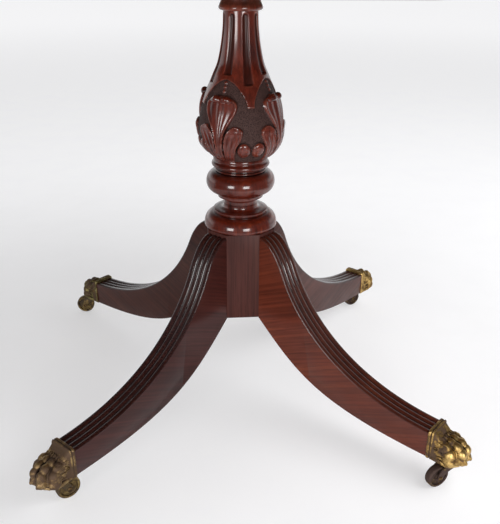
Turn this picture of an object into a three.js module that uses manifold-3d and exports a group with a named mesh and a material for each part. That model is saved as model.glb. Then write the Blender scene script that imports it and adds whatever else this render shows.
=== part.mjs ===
// Round tilt-top pedestal table in the Regency manner.
// A carved and turned column stands on a block with four reeded sabre legs.
// Each leg ends in a brass lion paw that holds a swivelling castor.
// The round top turns up on two pivot pins and is held down by a sliding bolt.
// Millimetres, +Z up, with the origin on the floor under the column.
import * as THREE from "three";
import { mergeVertices } from "three/addons/utils/BufferGeometryUtils.js";
import Module from "manifold-3d";

const wasm = await Module();
wasm.setup();

// ---- Driving dimensions ----

const SEAT_GAP = 0.3; // space kept between pieces that touch
const TABLE_HEIGHT = 750;
const TOP_RADIUS = 600;
const TOP_THICKNESS = 25;
const TOP_SEGMENTS = 60;

const BLOCK_DEPTH = 51.7; // thickness of the block under the top
const BLOCK_LEFT = 110; // from the column's axis to the block's bolt edge
const BLOCK_HALF_WIDTH = 90;
const PIVOT_X = 98; // the tilt axis runs along Y through this x

const BEARER_HALF_LENGTH = 480;
const BEARER_FLAT = 250; // full depth runs this far from the middle
const BEARER_WIDTH = 38;
const BEARER_DEPTH = 53.7;
const BEARER_END_DEPTH = 20;

const PIN_RADIUS = 6;
const RUNNING_CLEARANCE = 0.4;

const COLUMN_SIDES = 56;
const TURNED_SIDES = 24;
const WAIST_RADIUS = 27.6;
const WAIST_JOINT = 350; // the column ends and its cap begins at this level
const TENON_RADIUS = 20;
const DOWEL_RADIUS = 16;
const DOWEL_BOTTOM = 215;
const WEDGE_LENGTH = 24;
const FLUTE_COUNT = 8;
const LEAF_COUNT = 4;
const LEAF_START = 236; // polar angle of the first leaf's middle, degrees
const TONGUE_START = 281; // polar angle of the first pendant tongue

const HUB_BOTTOM = 161;
const HUB_TOP = 311;
const HUB_HALF = 55; // from the axis to each of the four bare faces
const LEG_WIDTH = 40;
const REEDS = 4;
const REED_DEPTH = 1.6;
const LEG_END = 382.6; // radius where the leg stops against its paw
const LEG_STATIONS = 12;

const PAW_UNDERSIDE = 38;
const SWIVEL_RADIUS = 414.6; // from the column's axis to each castor's stem
const STEM_RADIUS = 4.5;
const TRAIL = 24; // from the stem to the wheel's axle
const WHEEL_RADIUS = 18;
const WHEEL_WIDTH = 12;
const WHEEL_SIDES = 16;
const AXLE_RADIUS = 2.4;

// Each corner: the leg's polar angle and the way its castor trails, degrees.
const CORNERS = [
  { name: "front_left", leg: 225, trail: 32 },
  { name: "front_right", leg: 315, trail: 200 },
  { name: "rear_right", leg: 45, trail: 204 },
  { name: "rear_left", leg: 135, trail: 174 },
];

// ---- Worked-out levels ----

const TOP_UNDERSIDE = TABLE_HEIGHT - TOP_THICKNESS;
const BLOCK_TOP = TOP_UNDERSIDE - SEAT_GAP;
const BLOCK_BOTTOM = BLOCK_TOP - BLOCK_DEPTH;
const PIVOT_Z = BLOCK_TOP - BLOCK_DEPTH / 2;
const COLUMN_TOP = BLOCK_BOTTOM - SEAT_GAP;
const HUB_HALF_FACE = HUB_HALF - LEG_WIDTH / Math.SQRT2;
const LEG_ROOT = (HUB_HALF + HUB_HALF_FACE) / Math.SQRT2 + SEAT_GAP;

// ---- Materials ----

function material(color, roughness, metalness) {
  return new THREE.MeshStandardMaterial({ color, roughness, metalness });
}

const MAHOGANY = { color: 0x5b2c20, roughness: 0.28, metalness: 0 };
const SECONDARY_WOOD = { color: 0x6e4630, roughness: 0.6, metalness: 0 };
const BRASS = { color: 0xb08d4f, roughness: 0.35, metalness: 1 };
const STEEL = { color: 0x6b6a68, roughness: 0.4, metalness: 1 };
const IRON = { color: 0x34302d, roughness: 0.7, metalness: 0.8 };

// ---- Solids ----

// A closed geometry as a solid, turned to face outwards.
function solid(geometry) {
  const bare = geometry.clone();
  bare.deleteAttribute("normal");
  bare.deleteAttribute("uv");
  const merged = mergeVertices(bare, 1e-4);
  const corners = new Uint32Array(merged.index.array);
  const mesh = { numProp: 3, vertProperties: merged.attributes.position.array, triVerts: corners };
  const made = new wasm.Manifold(new wasm.Mesh(mesh));
  if (made.volume() > 0) {
    return made;
  }
  for (let i = 0; i < corners.length; i += 3) {
    [corners[i + 1], corners[i + 2]] = [corners[i + 2], corners[i + 1]];
  }
  return new wasm.Manifold(new wasm.Mesh(mesh));
}

function geometryOf(made) {
  const mesh = made.getMesh();
  const geometry = new THREE.BufferGeometry();
  geometry.setAttribute("position", new THREE.BufferAttribute(mesh.vertProperties, 3));
  geometry.setIndex(new THREE.BufferAttribute(mesh.triVerts, 1));
  geometry.computeVertexNormals();
  return geometry;
}

function box(x0, x1, y0, y1, z0, z1) {
  const geometry = new THREE.BoxGeometry(x1 - x0, y1 - y0, z1 - z0);
  geometry.translate((x0 + x1) / 2, (y0 + y1) / 2, (z0 + z1) / 2);
  return solid(geometry);
}

// A round bar standing along Z.
function post(radius, z0, z1, sides, x = 0, y = 0) {
  const geometry = new THREE.CylinderGeometry(radius, radius, z1 - z0, sides);
  geometry.rotateX(Math.PI / 2);
  geometry.translate(x, y, (z0 + z1) / 2);
  return solid(geometry);
}

// A round bar lying along Y.
function rod(radius, y0, y1, sides, x = 0, z = 0) {
  const geometry = new THREE.CylinderGeometry(radius, radius, y1 - y0, sides);
  geometry.translate(x, (y0 + y1) / 2, z);
  return solid(geometry);
}

// A profile of [radius, z] points turned about Z.
function turned(points, sides) {
  const profile = points.map(([radius, z]) => new THREE.Vector2(radius, z));
  const geometry = new THREE.LatheGeometry(profile, sides);
  geometry.rotateX(Math.PI / 2);
  return solid(geometry);
}

// The same profile turned about Y, for wheels, axles and pins.
function turnedAlongY(points, sides) {
  const profile = points.map(([radius, y]) => new THREE.Vector2(radius, y));
  return solid(new THREE.LatheGeometry(profile, sides));
}

// An outline in X and Z pushed out along Y from y0 to y1.
function slab(shape, y0, y1, curveSegments = 8) {
  const options = { depth: y1 - y0, bevelEnabled: false, curveSegments };
  const geometry = new THREE.ExtrudeGeometry(shape, options);
  geometry.rotateX(Math.PI / 2);
  geometry.translate(0, y1, 0);
  return solid(geometry);
}

// An outline in X and Y raised from z0 to z1.
function raised(shape, z0, z1, curveSegments = 8) {
  const options = { depth: z1 - z0, bevelEnabled: false, curveSegments };
  const geometry = new THREE.ExtrudeGeometry(shape, options);
  geometry.translate(0, 0, z0);
  return solid(geometry);
}

function polygon(points) {
  return new THREE.Shape(points.map(([x, y]) => new THREE.Vector2(x, y)));
}

function ball(radiusX, radiusY, radiusZ, x, y, z, around = 10, down = 6) {
  const geometry = new THREE.SphereGeometry(1, around, down);
  geometry.scale(radiusX, radiusY, radiusZ);
  geometry.translate(x, y, z);
  return solid(geometry);
}

// Rings of equal length joined side by side and closed at both ends.
function skin(rings) {
  const count = rings[0].length;
  const positions = rings.flat(2);
  const index = [];
  const centre = (ring) => {
    const sum = ring.reduce((a, p) => [a[0] + p[0], a[1] + p[1], a[2] + p[2]], [0, 0, 0]);
    return sum.map((value) => value / count);
  };
  const first = positions.length / 3;
  positions.push(...centre(rings[0]), ...centre(rings[rings.length - 1]));
  for (let ring = 0; ring < rings.length - 1; ring++) {
    for (let side = 0; side < count; side++) {
      const a = ring * count + side;
      const b = ring * count + ((side + 1) % count);
      index.push(a, b, a + count, b, b + count, a + count);
    }
  }
  const last = (rings.length - 1) * count;
  for (let side = 0; side < count; side++) {
    const next = (side + 1) % count;
    index.push(first, next, side, first + 1, last + side, last + next);
  }
  const geometry = new THREE.BufferGeometry();
  geometry.setAttribute("position", new THREE.Float32BufferAttribute(positions, 3));
  geometry.setIndex(index);
  return solid(geometry);
}

function union(parts) {
  return parts.reduce((whole, part) => whole.add(part));
}

const table = new THREE.Group();

function add(name, made, finish, spin = 0, parent = table) {
  const { color, roughness, metalness } = finish;
  const mesh = new THREE.Mesh(geometryOf(made), material(color, roughness, metalness));
  mesh.name = name;
  mesh.rotation.z = THREE.MathUtils.degToRad(spin);
  parent.add(mesh);
  return mesh;
}

// ---- Turned mouldings, as [radius, z] points from a higher to a lower level ----

// A convex half-round that stands out from `inner` to `outer`.
function torus(inner, outer, zTop, zBottom, steps) {
  const points = [];
  const middle = (zTop + zBottom) / 2;
  for (let i = 0; i <= steps; i++) {
    const angle = Math.PI / 2 - (Math.PI * i) / steps;
    const radius = inner + (outer - inner) * Math.cos(angle);
    points.push([radius, middle + ((zTop - zBottom) / 2) * Math.sin(angle)]);
  }
  return points;
}

// A convex quarter-round that swells from `inner` to `outer` on its way down.
function ovolo(inner, outer, zTop, zBottom, steps) {
  const points = [];
  for (let i = 0; i <= steps; i++) {
    const angle = (Math.PI / 2) * (1 - i / steps);
    const radius = inner + (outer - inner) * Math.cos(angle);
    points.push([radius, zBottom + (zTop - zBottom) * Math.sin(angle)]);
  }
  return points;
}

// ---- Carved column ----

// The bare trumpet and bulb, before flutes are cut and leaves stand out.
const trunk = new THREE.SplineCurve(
  [
    [652, 26.2],
    [625, 27.2],
    [597, 30.7],
    [572, 36.2],
    [550, 44.5],
    [532, 52.6],
    [512, 60.3],
    [490, 65.3],
    [468, 66.5],
    [452, 63.4],
    [438, 55.5],
    [426.5, 44.4],
  ].map(([z, radius]) => new THREE.Vector2(z, radius)),
);

// Smooth 0 to 1 as `value` goes from `from` to `to`.
function ramp(value, from, to) {
  const t = Math.min(1, Math.max(0, (value - from) / (to - from)));
  return t * t * (3 - 2 * t);
}

// Degrees from `angle` to the nearest of `count` equally spaced centres.
function offCentre(angle, start, count) {
  const step = 360 / count;
  const turn = ((((angle - start) % step) + step) % step) / step;
  return Math.min(turn, 1 - turn) * step;
}

const FLUTE_HALF = 9;
const FLUTE_DEPTH = 2.4;
const LEAF_HEIGHT = 3.6;
const LEAF_LOBE = 13; // degrees across each lobe of a leaf

// A hollow flute with a round top. Over a leaf it stops higher than over a tongue.
function fluteCut(angle, z) {
  const off = offCentre(angle, TONGUE_START, FLUTE_COUNT) / FLUTE_HALF;
  if (off >= 1) {
    return 0;
  }
  const overLeaf = offCentre(angle, LEAF_START, LEAF_COUNT) < 22.5;
  const end = overLeaf ? 553 : 541;
  const length = ramp(z, end - 3, end) * (1 - ramp(z, 640, 646));
  return FLUTE_DEPTH * (1 - off * off) * length;
}

// Half width of the leaf in degrees: a waisted upper lobe over two spreading lower lobes.
function leafHalfWidth(z) {
  const upper = 18 + 10 * ramp(z, 482, 512) - 10 * ramp(z, 520, 532);
  const lower = 40 - 3 * ramp(z, 455, 428);
  return z > 480 ? upper : lower;
}

function leafRise(angle, z) {
  if (z > 531) {
    return 0;
  }
  const off = offCentre(angle, LEAF_START, LEAF_COUNT);
  const edge = 1 - ramp(off, leafHalfWidth(z) - 4, leafHalfWidth(z) + 1);
  const rib = 1 - 0.35 * Math.cos((off / LEAF_LOBE) * 2 * Math.PI);
  return LEAF_HEIGHT * edge * rib * ramp(z, 427, 440);
}

// The pendant tongue that hangs between two leaves.
function tongueRise(angle, z) {
  const off = offCentre(angle, TONGUE_START, LEAF_COUNT);
  const half = 4.5 + 9 * ramp(z, 504, 538);
  const length = ramp(z, 500, 504) * (1 - ramp(z, 541, 546));
  return off < half ? 1.4 * length : 0;
}

function carvedRadius(angle, z, bare) {
  return bare + leafRise(angle, z) + tongueRise(angle, z) - fluteCut(angle, z);
}

const CARVED_LEVELS = [
  652, 646, 640, 607, 575, 553, 549, 541, 533, 516, 503, 484, 478, 463, 446, 426.5,
];

function bareRadius(z) {
  let low = 0;
  let high = 1;
  for (let i = 0; i < 40; i++) {
    const middle = (low + high) / 2;
    if (trunk.getPoint(middle).x > z) {
      low = middle;
    } else {
      high = middle;
    }
  }
  return trunk.getPoint(low).y;
}

function carvedTrunk() {
  const rings = CARVED_LEVELS.map((z) => {
    const bare = bareRadius(z);
    return Array.from({ length: COLUMN_SIDES }, (unused, side) => {
      const angle = TONGUE_START + (360 * side) / COLUMN_SIDES;
      const radius = carvedRadius(angle, z, bare);
      const turn = THREE.MathUtils.degToRad(angle);
      return [radius * Math.cos(turn), radius * Math.sin(turn), z];
    });
  });
  return skin(rings);
}

const SCROLL_RADIUS = 5.2;
const SCROLL_LENGTH = 14; // between the scroll's rounded ends
const SCROLL_OUT = 60.4; // from the column's axis to the scroll's own axis
const SCROLL_Z = 526.5;

// The leaf's tip rolls outwards into a short scroll across the top of the leaf.
function leafScroll(angle) {
  const geometry = new THREE.CapsuleGeometry(SCROLL_RADIUS, SCROLL_LENGTH, 2, 8);
  geometry.translate(SCROLL_OUT, 0, SCROLL_Z);
  geometry.rotateZ(THREE.MathUtils.degToRad(angle));
  return solid(geometry);
}

function column() {
  const collar = [
    [0, COLUMN_TOP],
    [30, COLUMN_TOP],
    [29.6, 665],
    [30.5, 661.2],
    ...ovolo(31.4, 33.4, 658.4, 653.4, 3),
    [32.6, 650.8],
    [30.4, 649.4],
    [25.8, 648.4],
    [0, 648.4],
  ];
  const rings = [
    [0, 432],
    [43, 432],
    [44.1, 428.4],
    [44.1, 423.6],
    [42.6, 422.2],
    ...torus(43, 46.8, 420.8, 412.8, 4),
    [39.6, 411.2],
    ...torus(39.8, 41.8, 409.6, 405.4, 3),
    ...torus(42.4, 55.8, 404.8, 369.8, 7),
    [37.4, 367],
    [37, 361.4],
    [31, 360.4],
    [WAIST_RADIUS, 357.6],
    [WAIST_RADIUS, WAIST_JOINT],
    [0, WAIST_JOINT],
  ];
  const tenon = post(TENON_RADIUS, COLUMN_TOP - 4, BLOCK_TOP - 4, 24);
  const dowel = post(DOWEL_RADIUS, DOWEL_BOTTOM, WAIST_JOINT + 2, 20);
  const slot = box(-1.6, 1.6, -30, 30, BLOCK_TOP - 4 - WEDGE_LENGTH, BLOCK_TOP);
  const scrolls = Array.from({ length: LEAF_COUNT }, (unused, leaf) => {
    return leafScroll(LEAF_START + (360 * leaf) / LEAF_COUNT);
  });
  const body = [turned(collar, TURNED_SIDES), carvedTrunk(), turned(rings, TURNED_SIDES), tenon, dowel];
  return union([...body, ...scrolls]).subtract(slot);
}

// A thin wedge driven into the saw cut in the column's tenon.
function tenonWedge() {
  const bottom = BLOCK_TOP - 4 - WEDGE_LENGTH + 1;
  const top = BLOCK_TOP - 3;
  const outline = [
    [-0.5, bottom],
    [0.5, bottom],
    [1.3, top],
    [-1.3, top],
  ];
  return slab(polygon(outline), -14, 14);
}

// The turned cap between column and hub: the waist's lower end, a flat band, then a wide ovolo.
function pedestalCap() {
  const hole = DOWEL_RADIUS + SEAT_GAP;
  const top = WAIST_JOINT - SEAT_GAP;
  const bottom = HUB_TOP + SEAT_GAP;
  return turned(
    [
      [hole, top],
      [WAIST_RADIUS, top],
      [WAIST_RADIUS, 344.4],
      [30.6, 342.4],
      [43.6, 341.4],
      [44.4, 340.6],
      [44.4, 335.6],
      ...ovolo(46, 59.8, 335, 316.6, 5),
      [59.8, 313.4],
      [57.6, bottom],
      [hole, bottom],
      [hole, top],
    ],
    TURNED_SIDES,
  );
}

// ---- Hub ----

const KEY_INNER = 42;
const KEY_INNER_HALF = 10.5;
const KEY_OUTER_HALF = 7;
const KEY_TOP = 288;

// The dovetail that holds a leg, as a plan outline along +X. `slack` opens it all round.
function dovetail(outerEnd, slack) {
  return polygon([
    [KEY_INNER - slack, -KEY_INNER_HALF - slack],
    [LEG_ROOT, -KEY_OUTER_HALF - slack],
    [outerEnd, -KEY_OUTER_HALF - slack],
    [outerEnd, KEY_OUTER_HALF + slack],
    [LEG_ROOT, KEY_OUTER_HALF + slack],
    [KEY_INNER - slack, KEY_INNER_HALF + slack],
  ]);
}

const PLATE_RADIUS = 47;
const PLATE_THICKNESS = 3;
const PLATE_SCREW_RADIUS = 26; // from the axis to each of the plate's four screws

function plateScrewHoles(z0, z1) {
  const hole = post(2.3, z0, z1, 8, PLATE_SCREW_RADIUS);
  return union([0, 90, 180, 270].map((turn) => hole.rotate([0, 0, turn])));
}

function hub() {
  const near = HUB_HALF;
  const half = HUB_HALF_FACE;
  const outline = polygon([
    [near, -half],
    [near, half],
    [half, near],
    [-half, near],
    [-near, half],
    [-near, -half],
    [-half, -near],
    [half, -near],
  ]);
  let made = raised(outline, HUB_BOTTOM, HUB_TOP);
  made = made.subtract(post(DOWEL_RADIUS + SEAT_GAP, DOWEL_BOTTOM - SEAT_GAP, HUB_TOP + 1, 20));
  const slot = raised(dovetail(LEG_ROOT + 10, SEAT_GAP), HUB_BOTTOM - 1, KEY_TOP);
  for (const corner of CORNERS) {
    made = made.subtract(slot.rotate([0, 0, corner.leg]));
  }
  return made.subtract(plateScrewHoles(HUB_BOTTOM - 1, HUB_BOTTOM + 19));
}

// The iron plate screwed under the hub to keep the dovetails in.
function bracePlate() {
  const top = HUB_BOTTOM - SEAT_GAP;
  const disc = post(PLATE_RADIUS, top - PLATE_THICKNESS, top, 20);
  return disc.subtract(plateScrewHoles(top - PLATE_THICKNESS - 1, top + 1));
}

// A woodscrew with its shank up and its round head down, both along Z.
function screwUp(shank, head, length, headHeight, x = 0, y = 0, z = 0) {
  const points = [
    [0, z + length],
    [shank, z + length - 2],
    [shank, z],
    [head, z],
    [head * 0.6, z - headHeight],
    [0, z - headHeight],
  ];
  return turned(points, 6).translate([x, y, 0]);
}

// ---- Legs ----

// Side outline of the leg in radius and height: a short rounded shoulder, then one long sweep.
const legTop = new THREE.CurvePath();
legTop.add(
  new THREE.CubicBezierCurve(
    new THREE.Vector2(LEG_ROOT, 310.4),
    new THREE.Vector2(74, 310.8),
    new THREE.Vector2(93, 284),
    new THREE.Vector2(102.5, 260),
  ),
);
legTop.add(
  new THREE.CubicBezierCurve(
    new THREE.Vector2(102.5, 260),
    new THREE.Vector2(149, 153),
    new THREE.Vector2(255, 90),
    new THREE.Vector2(LEG_END, 84),
  ),
);
const legUnderside = new THREE.CubicBezierCurve(
  new THREE.Vector2(LEG_ROOT, 159),
  new THREE.Vector2(138, 86),
  new THREE.Vector2(184, 45),
  new THREE.Vector2(LEG_END, 39.5),
);

// Height of the reeded face across the leg's width, with a groove between two reeds.
function reedPoints() {
  const across = [-1, -0.55, 0.55];
  const pitch = LEG_WIDTH / REEDS;
  const points = [];
  for (let reed = 0; reed < REEDS; reed++) {
    for (const place of across) {
      const drop = place === -1 ? REED_DEPTH : 0;
      points.push([-LEG_WIDTH / 2 + pitch * (reed + 0.5 + place / 2), -drop]);
    }
  }
  points.push([LEG_WIDTH / 2, -REED_DEPTH]);
  return points;
}

function legBlank() {
  const reeds = reedPoints();
  const rings = [];
  for (let station = 0; station <= LEG_STATIONS; station++) {
    const along = station / LEG_STATIONS;
    const top = legTop.getPointAt(along);
    const bottom = legUnderside.getPointAt(along);
    const level = station === 0 || station === LEG_STATIONS;
    const tangent = level ? new THREE.Vector2(1, 0) : legTop.getTangentAt(along);
    const ring = reeds.map(([across, drop]) => {
      return [top.x - tangent.y * drop, across, top.y + tangent.x * drop];
    });
    ring.push([bottom.x, LEG_WIDTH / 2, bottom.y], [bottom.x, -LEG_WIDTH / 2, bottom.y]);
    rings.push(ring);
  }
  return skin(rings);
}

const TENON = { end: LEG_END + 21.5, half: 13, bottom: 47, top: 72 };
const PAW_SCREW_X = LEG_END + 14;
const PAW_SCREW_Z = 61;

function leg() {
  const key = raised(dovetail(LEG_ROOT + 2, 0), HUB_BOTTOM + SEAT_GAP, KEY_TOP - SEAT_GAP);
  const tenon = box(LEG_END - 2, TENON.end, -TENON.half, TENON.half, TENON.bottom, TENON.top);
  const pilot = rod(2.1, -14, 14, 8, PAW_SCREW_X, PAW_SCREW_Z);
  return union([legBlank(), key, tenon]).subtract(pilot);
}

// ---- Lion paws ----

// Cross sections from the collar to the toes: distance past the leg's end, half width,
// underside, back, and how square the section is.
const PAW_SECTIONS = [
  { out: 0.4, half: 22.2, under: 37.2, back: 89, square: 7 },
  { out: 6, half: 22.6, under: 37.2, back: 89.2, square: 7 },
  { out: 8, half: 21, under: 37.6, back: 86.5, square: 6 },
  { out: 21, half: 20.4, under: 37.6, back: 77.4, square: 5 },
  { out: 36, half: 20.6, under: 37.6, back: 73, square: 4 },
  { out: 52, half: 15, under: 38.4, back: 61, square: 3 },
];
const PAW_SIDES = 12;

// Toe centres across the paw and past the leg's end: the inner pair reaches further out.
const TOES = [
  { across: -18, out: 35, length: 13, width: 8 },
  { across: -6.8, out: 49, length: 14, width: 7.6 },
  { across: 6.8, out: 49, length: 14, width: 7.6 },
  { across: 18, out: 35, length: 13, width: 8 },
];
const TOE_Z = 53;
const TOE_HEIGHT = 15;
const KNUCKLE_Z = 69;

function squircle(section) {
  const middle = (section.under + section.back) / 2;
  const tall = (section.back - section.under) / 2;
  return Array.from({ length: PAW_SIDES }, (unused, side) => {
    const angle = (2 * Math.PI * (side + 0.5)) / PAW_SIDES;
    const cos = Math.cos(angle);
    const sin = Math.sin(angle);
    const power = 2 / section.square;
    const across = section.half * Math.sign(cos) * Math.abs(cos) ** power;
    const z = middle + tall * Math.sign(sin) * Math.abs(sin) ** power;
    return [LEG_END + section.out, across, z];
  });
}

function paw() {
  const toes = TOES.map(({ across, out, length, width }) => {
    return ball(length, width, TOE_HEIGHT, LEG_END + out, across, TOE_Z, 6, 4);
  });
  const knuckles = TOES.map(({ across, out, width }) => {
    return ball(10, width, 9, LEG_END + out - 9, across, KNUCKLE_Z, 5, 3);
  });
  let made = union([skin(PAW_SECTIONS.map(squircle)), ...toes, ...knuckles]);
  made = made.subtract(box(LEG_END + 9, LEG_END + 80, -40, 40, 0, PAW_UNDERSIDE));
  const slack = SEAT_GAP;
  const { end, half, bottom, top } = TENON;
  const wide = half + slack;
  made = made.subtract(box(LEG_END - 10, end + slack, -wide, wide, bottom - slack, top + slack));
  made = made.subtract(post(STEM_RADIUS + SEAT_GAP, 30, 63, 12, SWIVEL_RADIUS));
  return made.subtract(rod(2.3, -30, 30, 8, PAW_SCREW_X, PAW_SCREW_Z));
}

// A round-headed screw through the side of the paw into the leg's tenon.
function pawScrew(side) {
  const head = side * 22.5;
  const profile = [
    [0, head],
    [2.6, head],
    [3.6, head - side * 1.2],
    [3.6, head - side * 1.4],
    [1.7, head - side * 1.4],
    [1.7, side * 6],
    [0, side * 5],
  ];
  return turnedAlongY(profile, 6).translate([PAW_SCREW_X, 0, PAW_SCREW_Z]);
}

// ---- Castors, built at the stem's axis and trailing along +X ----

const CROWN_TOP = PAW_UNDERSIDE - 0.6;
const ARM_INNER = WHEEL_WIDTH / 2 + 0.6;
const ARM_OUTER = ARM_INNER + 2.8;

// The horn: a stem and crown with a curved arm down each side of the wheel.
function castorHorn() {
  const arm = new THREE.Shape();
  arm.moveTo(-7, CROWN_TOP);
  arm.lineTo(8, CROWN_TOP);
  arm.quadraticCurveTo(TRAIL + 3, CROWN_TOP - 2, TRAIL + 5.2, WHEEL_RADIUS);
  arm.absarc(TRAIL, WHEEL_RADIUS, 5.2, 0, -Math.PI, true);
  arm.quadraticCurveTo(TRAIL - 7, 27, -7, 31.5);
  arm.closePath();
  const arms = [-1, 1].map((side) => {
    const edges = [side * ARM_INNER, side * ARM_OUTER].sort((a, b) => a - b);
    return slab(arm, edges[0], edges[1], 3);
  });
  const stem = post(STEM_RADIUS, 31, 62, 8);
  const crown = post(8.6, 29.6, CROWN_TOP, 10);
  const hole = rod(AXLE_RADIUS + SEAT_GAP, -20, 20, 8, TRAIL, WHEEL_RADIUS);
  return union([stem, crown, ...arms]).subtract(hole);
}

function castorAxle() {
  const headFrom = ARM_OUTER + SEAT_GAP;
  const headTo = headFrom + 1.4;
  const profile = [
    [0, -headTo],
    [3, -headTo],
    [3.8, -headFrom],
    [AXLE_RADIUS, -headFrom],
    [AXLE_RADIUS, headFrom],
    [3.8, headFrom],
    [3, headTo],
    [0, headTo],
  ];
  return turnedAlongY(profile, 8);
}

// A solid brass wheel, dished on both faces. One flat of its rim lies on the floor.
function castorWheel() {
  const half = WHEEL_WIDTH / 2;
  const rim = WHEEL_RADIUS / Math.cos(Math.PI / WHEEL_SIDES);
  const bore = AXLE_RADIUS + SEAT_GAP;
  const outwards = [
    [bore, half],
    [6, half],
    [7.5, half - 2.6],
    [13.5, half - 2.6],
    [15, half],
    [rim, half - 1.6],
  ];
  const back = outwards.map(([radius, y]) => [radius, -y]).reverse();
  const made = turnedAlongY([...outwards, ...back, outwards[0]], WHEEL_SIDES);
  return made.rotate([0, 180 / WHEEL_SIDES, 0]);
}

function addCastor(corner) {
  const swivel = new THREE.Group();
  const angle = THREE.MathUtils.degToRad(corner.leg);
  swivel.position.set(SWIVEL_RADIUS * Math.cos(angle), SWIVEL_RADIUS * Math.sin(angle), 0);
  swivel.rotation.z = THREE.MathUtils.degToRad(corner.trail);
  table.add(swivel);
  add("castor_horn_" + corner.name, castorHorn(), BRASS, 0, swivel);
  const axle = add("castor_axle_" + corner.name, castorAxle(), STEEL, 0, swivel);
  const wheel = add("castor_wheel_" + corner.name, castorWheel(), BRASS, 0, swivel);
  axle.position.set(TRAIL, 0, WHEEL_RADIUS);
  wheel.position.set(TRAIL, 0, WHEEL_RADIUS);
}

// ---- Top, bearers and tilting gear ----

const BEARER_Y = BLOCK_HALF_WIDTH + 1 + BEARER_WIDTH / 2;
const BEARER_TOP = TOP_UNDERSIDE - SEAT_GAP;
const BEARER_SCREWS = [
  { x: 180, seat: 24 },
  { x: 415, seat: 16 },
];
const SCREW_BITE = 12; // how far each bearer screw enters the top

// Where each bearer screw's head sits: on the floor of its counterbore.
function bearerScrewSeat(screw) {
  return BEARER_TOP - screw.seat;
}

function bearerScrewLength(screw) {
  return TOP_UNDERSIDE + SCREW_BITE - bearerScrewSeat(screw);
}

function eachBearerScrew(visit) {
  let number = 0;
  for (const y of [-BEARER_Y, BEARER_Y]) {
    for (const screw of BEARER_SCREWS) {
      for (const side of [-1, 1]) {
        number += 1;
        visit(screw, side * screw.x, y, number);
      }
    }
  }
}

// The round board with two reeds worked around its edge.
function tableTop() {
  const low = TOP_UNDERSIDE;
  let made = turned(
    [
      [0, low],
      [TOP_RADIUS - 11, low],
      ...torus(TOP_RADIUS - 7, TOP_RADIUS - 1, low + 13, low + 1.6, 4).reverse(),
      ...torus(TOP_RADIUS - 6, TOP_RADIUS, low + 23.6, low + 13.4, 4).reverse(),
      [TOP_RADIUS - 8.5, TABLE_HEIGHT],
      [0, TABLE_HEIGHT],
    ],
    TOP_SEGMENTS,
  );
  eachBearerScrew((screw, x, y) => {
    made = made.subtract(post(2.4, low - 5, low + SCREW_BITE + 0.5, 6, x, y));
  });
  return made;
}

// A bearer under the top: full depth over the block, tapering up towards both ends.
function bearer(side) {
  const low = BEARER_TOP - BEARER_DEPTH;
  const shape = new THREE.Shape();
  shape.moveTo(-BEARER_HALF_LENGTH, BEARER_TOP);
  shape.lineTo(-BEARER_HALF_LENGTH, BEARER_TOP - BEARER_END_DEPTH);
  shape.quadraticCurveTo(-BEARER_FLAT - 110, low + 2, -BEARER_FLAT, low);
  shape.lineTo(BEARER_FLAT, low);
  shape.quadraticCurveTo(BEARER_FLAT + 110, low + 2, BEARER_HALF_LENGTH, BEARER_TOP - BEARER_END_DEPTH);
  shape.lineTo(BEARER_HALF_LENGTH, BEARER_TOP);
  shape.closePath();
  const y = side * BEARER_Y;
  let made = slab(shape, y - BEARER_WIDTH / 2, y + BEARER_WIDTH / 2, 6);
  made = made.subtract(rod(PIN_RADIUS + SEAT_GAP, y - 30, y + 30, 16, PIVOT_X, PIVOT_Z));
  eachBearerScrew((screw, x, screwY) => {
    if (screwY * side > 0) {
      const seat = bearerScrewSeat(screw);
      made = made.subtract(post(2.4, seat - 1, BEARER_TOP + 1, 6, x, y));
      made = made.subtract(post(5.6, low - 10, seat - SEAT_GAP, 8, x, y));
    }
  });
  return made;
}

const BOLT_Z = 712;
const BOLT_RADIUS = 3.5;
const KEEPER_THICKNESS = 1.5;
const KEEPER_HOLE_HALF = 4.6;
const SOCKET_HALF = 5;
const SOCKET_DEPTH = 14;

// A square bar along the bolt's axis.
function squareBar(x0, x1, half) {
  return box(x0, x1, -half, half, BOLT_Z - half, BOLT_Z + half);
}

// The block on the column's tenon. Its pivot edge is rounded about the tilt axis.
function topBlock() {
  const shape = new THREE.Shape();
  shape.moveTo(-BLOCK_LEFT, BLOCK_TOP);
  shape.lineTo(-BLOCK_LEFT, BLOCK_BOTTOM + 8);
  shape.lineTo(-BLOCK_LEFT + 8, BLOCK_BOTTOM);
  shape.lineTo(PIVOT_X, BLOCK_BOTTOM);
  shape.absarc(PIVOT_X, PIVOT_Z, BLOCK_DEPTH / 2, -Math.PI / 2, Math.PI / 2, false);
  shape.closePath();
  const pivot = rod(PIN_RADIUS + RUNNING_CLEARANCE, -100, 100, 20, PIVOT_X, PIVOT_Z);
  const mortise = post(TENON_RADIUS + SEAT_GAP, BLOCK_BOTTOM - 1, BLOCK_TOP + 1, 24);
  const socket = squareBar(-BLOCK_LEFT - 1, -BLOCK_LEFT + SOCKET_DEPTH, SOCKET_HALF);
  const block = slab(shape, -BLOCK_HALF_WIDTH, BLOCK_HALF_WIDTH, 10);
  return block.subtract(union([pivot, socket])).subtract(mortise);
}

// A headed pin that is fast in its bearer and turns in the block.
function pivotPin(side) {
  const outer = side * (BEARER_Y + BEARER_WIDTH / 2 + SEAT_GAP);
  const profile = [
    [0, outer + side * 3],
    [7, outer + side * 3],
    [9, outer + side * 1.4],
    [9, outer],
    [PIN_RADIUS, outer],
    [PIN_RADIUS, side * 52],
    [PIN_RADIUS - 1, side * 51],
    [0, side * 51],
  ];
  return turnedAlongY(profile, 16).translate([PIVOT_X, 0, PIVOT_Z]);
}

// ---- Sliding bolt at the edge opposite the pivot ----

const BOLT_TIP = -BLOCK_LEFT - 7;
const CASE_NEAR = BOLT_TIP - 4;
const CASE_LENGTH = 34;
const CASE_HALF = 7;

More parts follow.
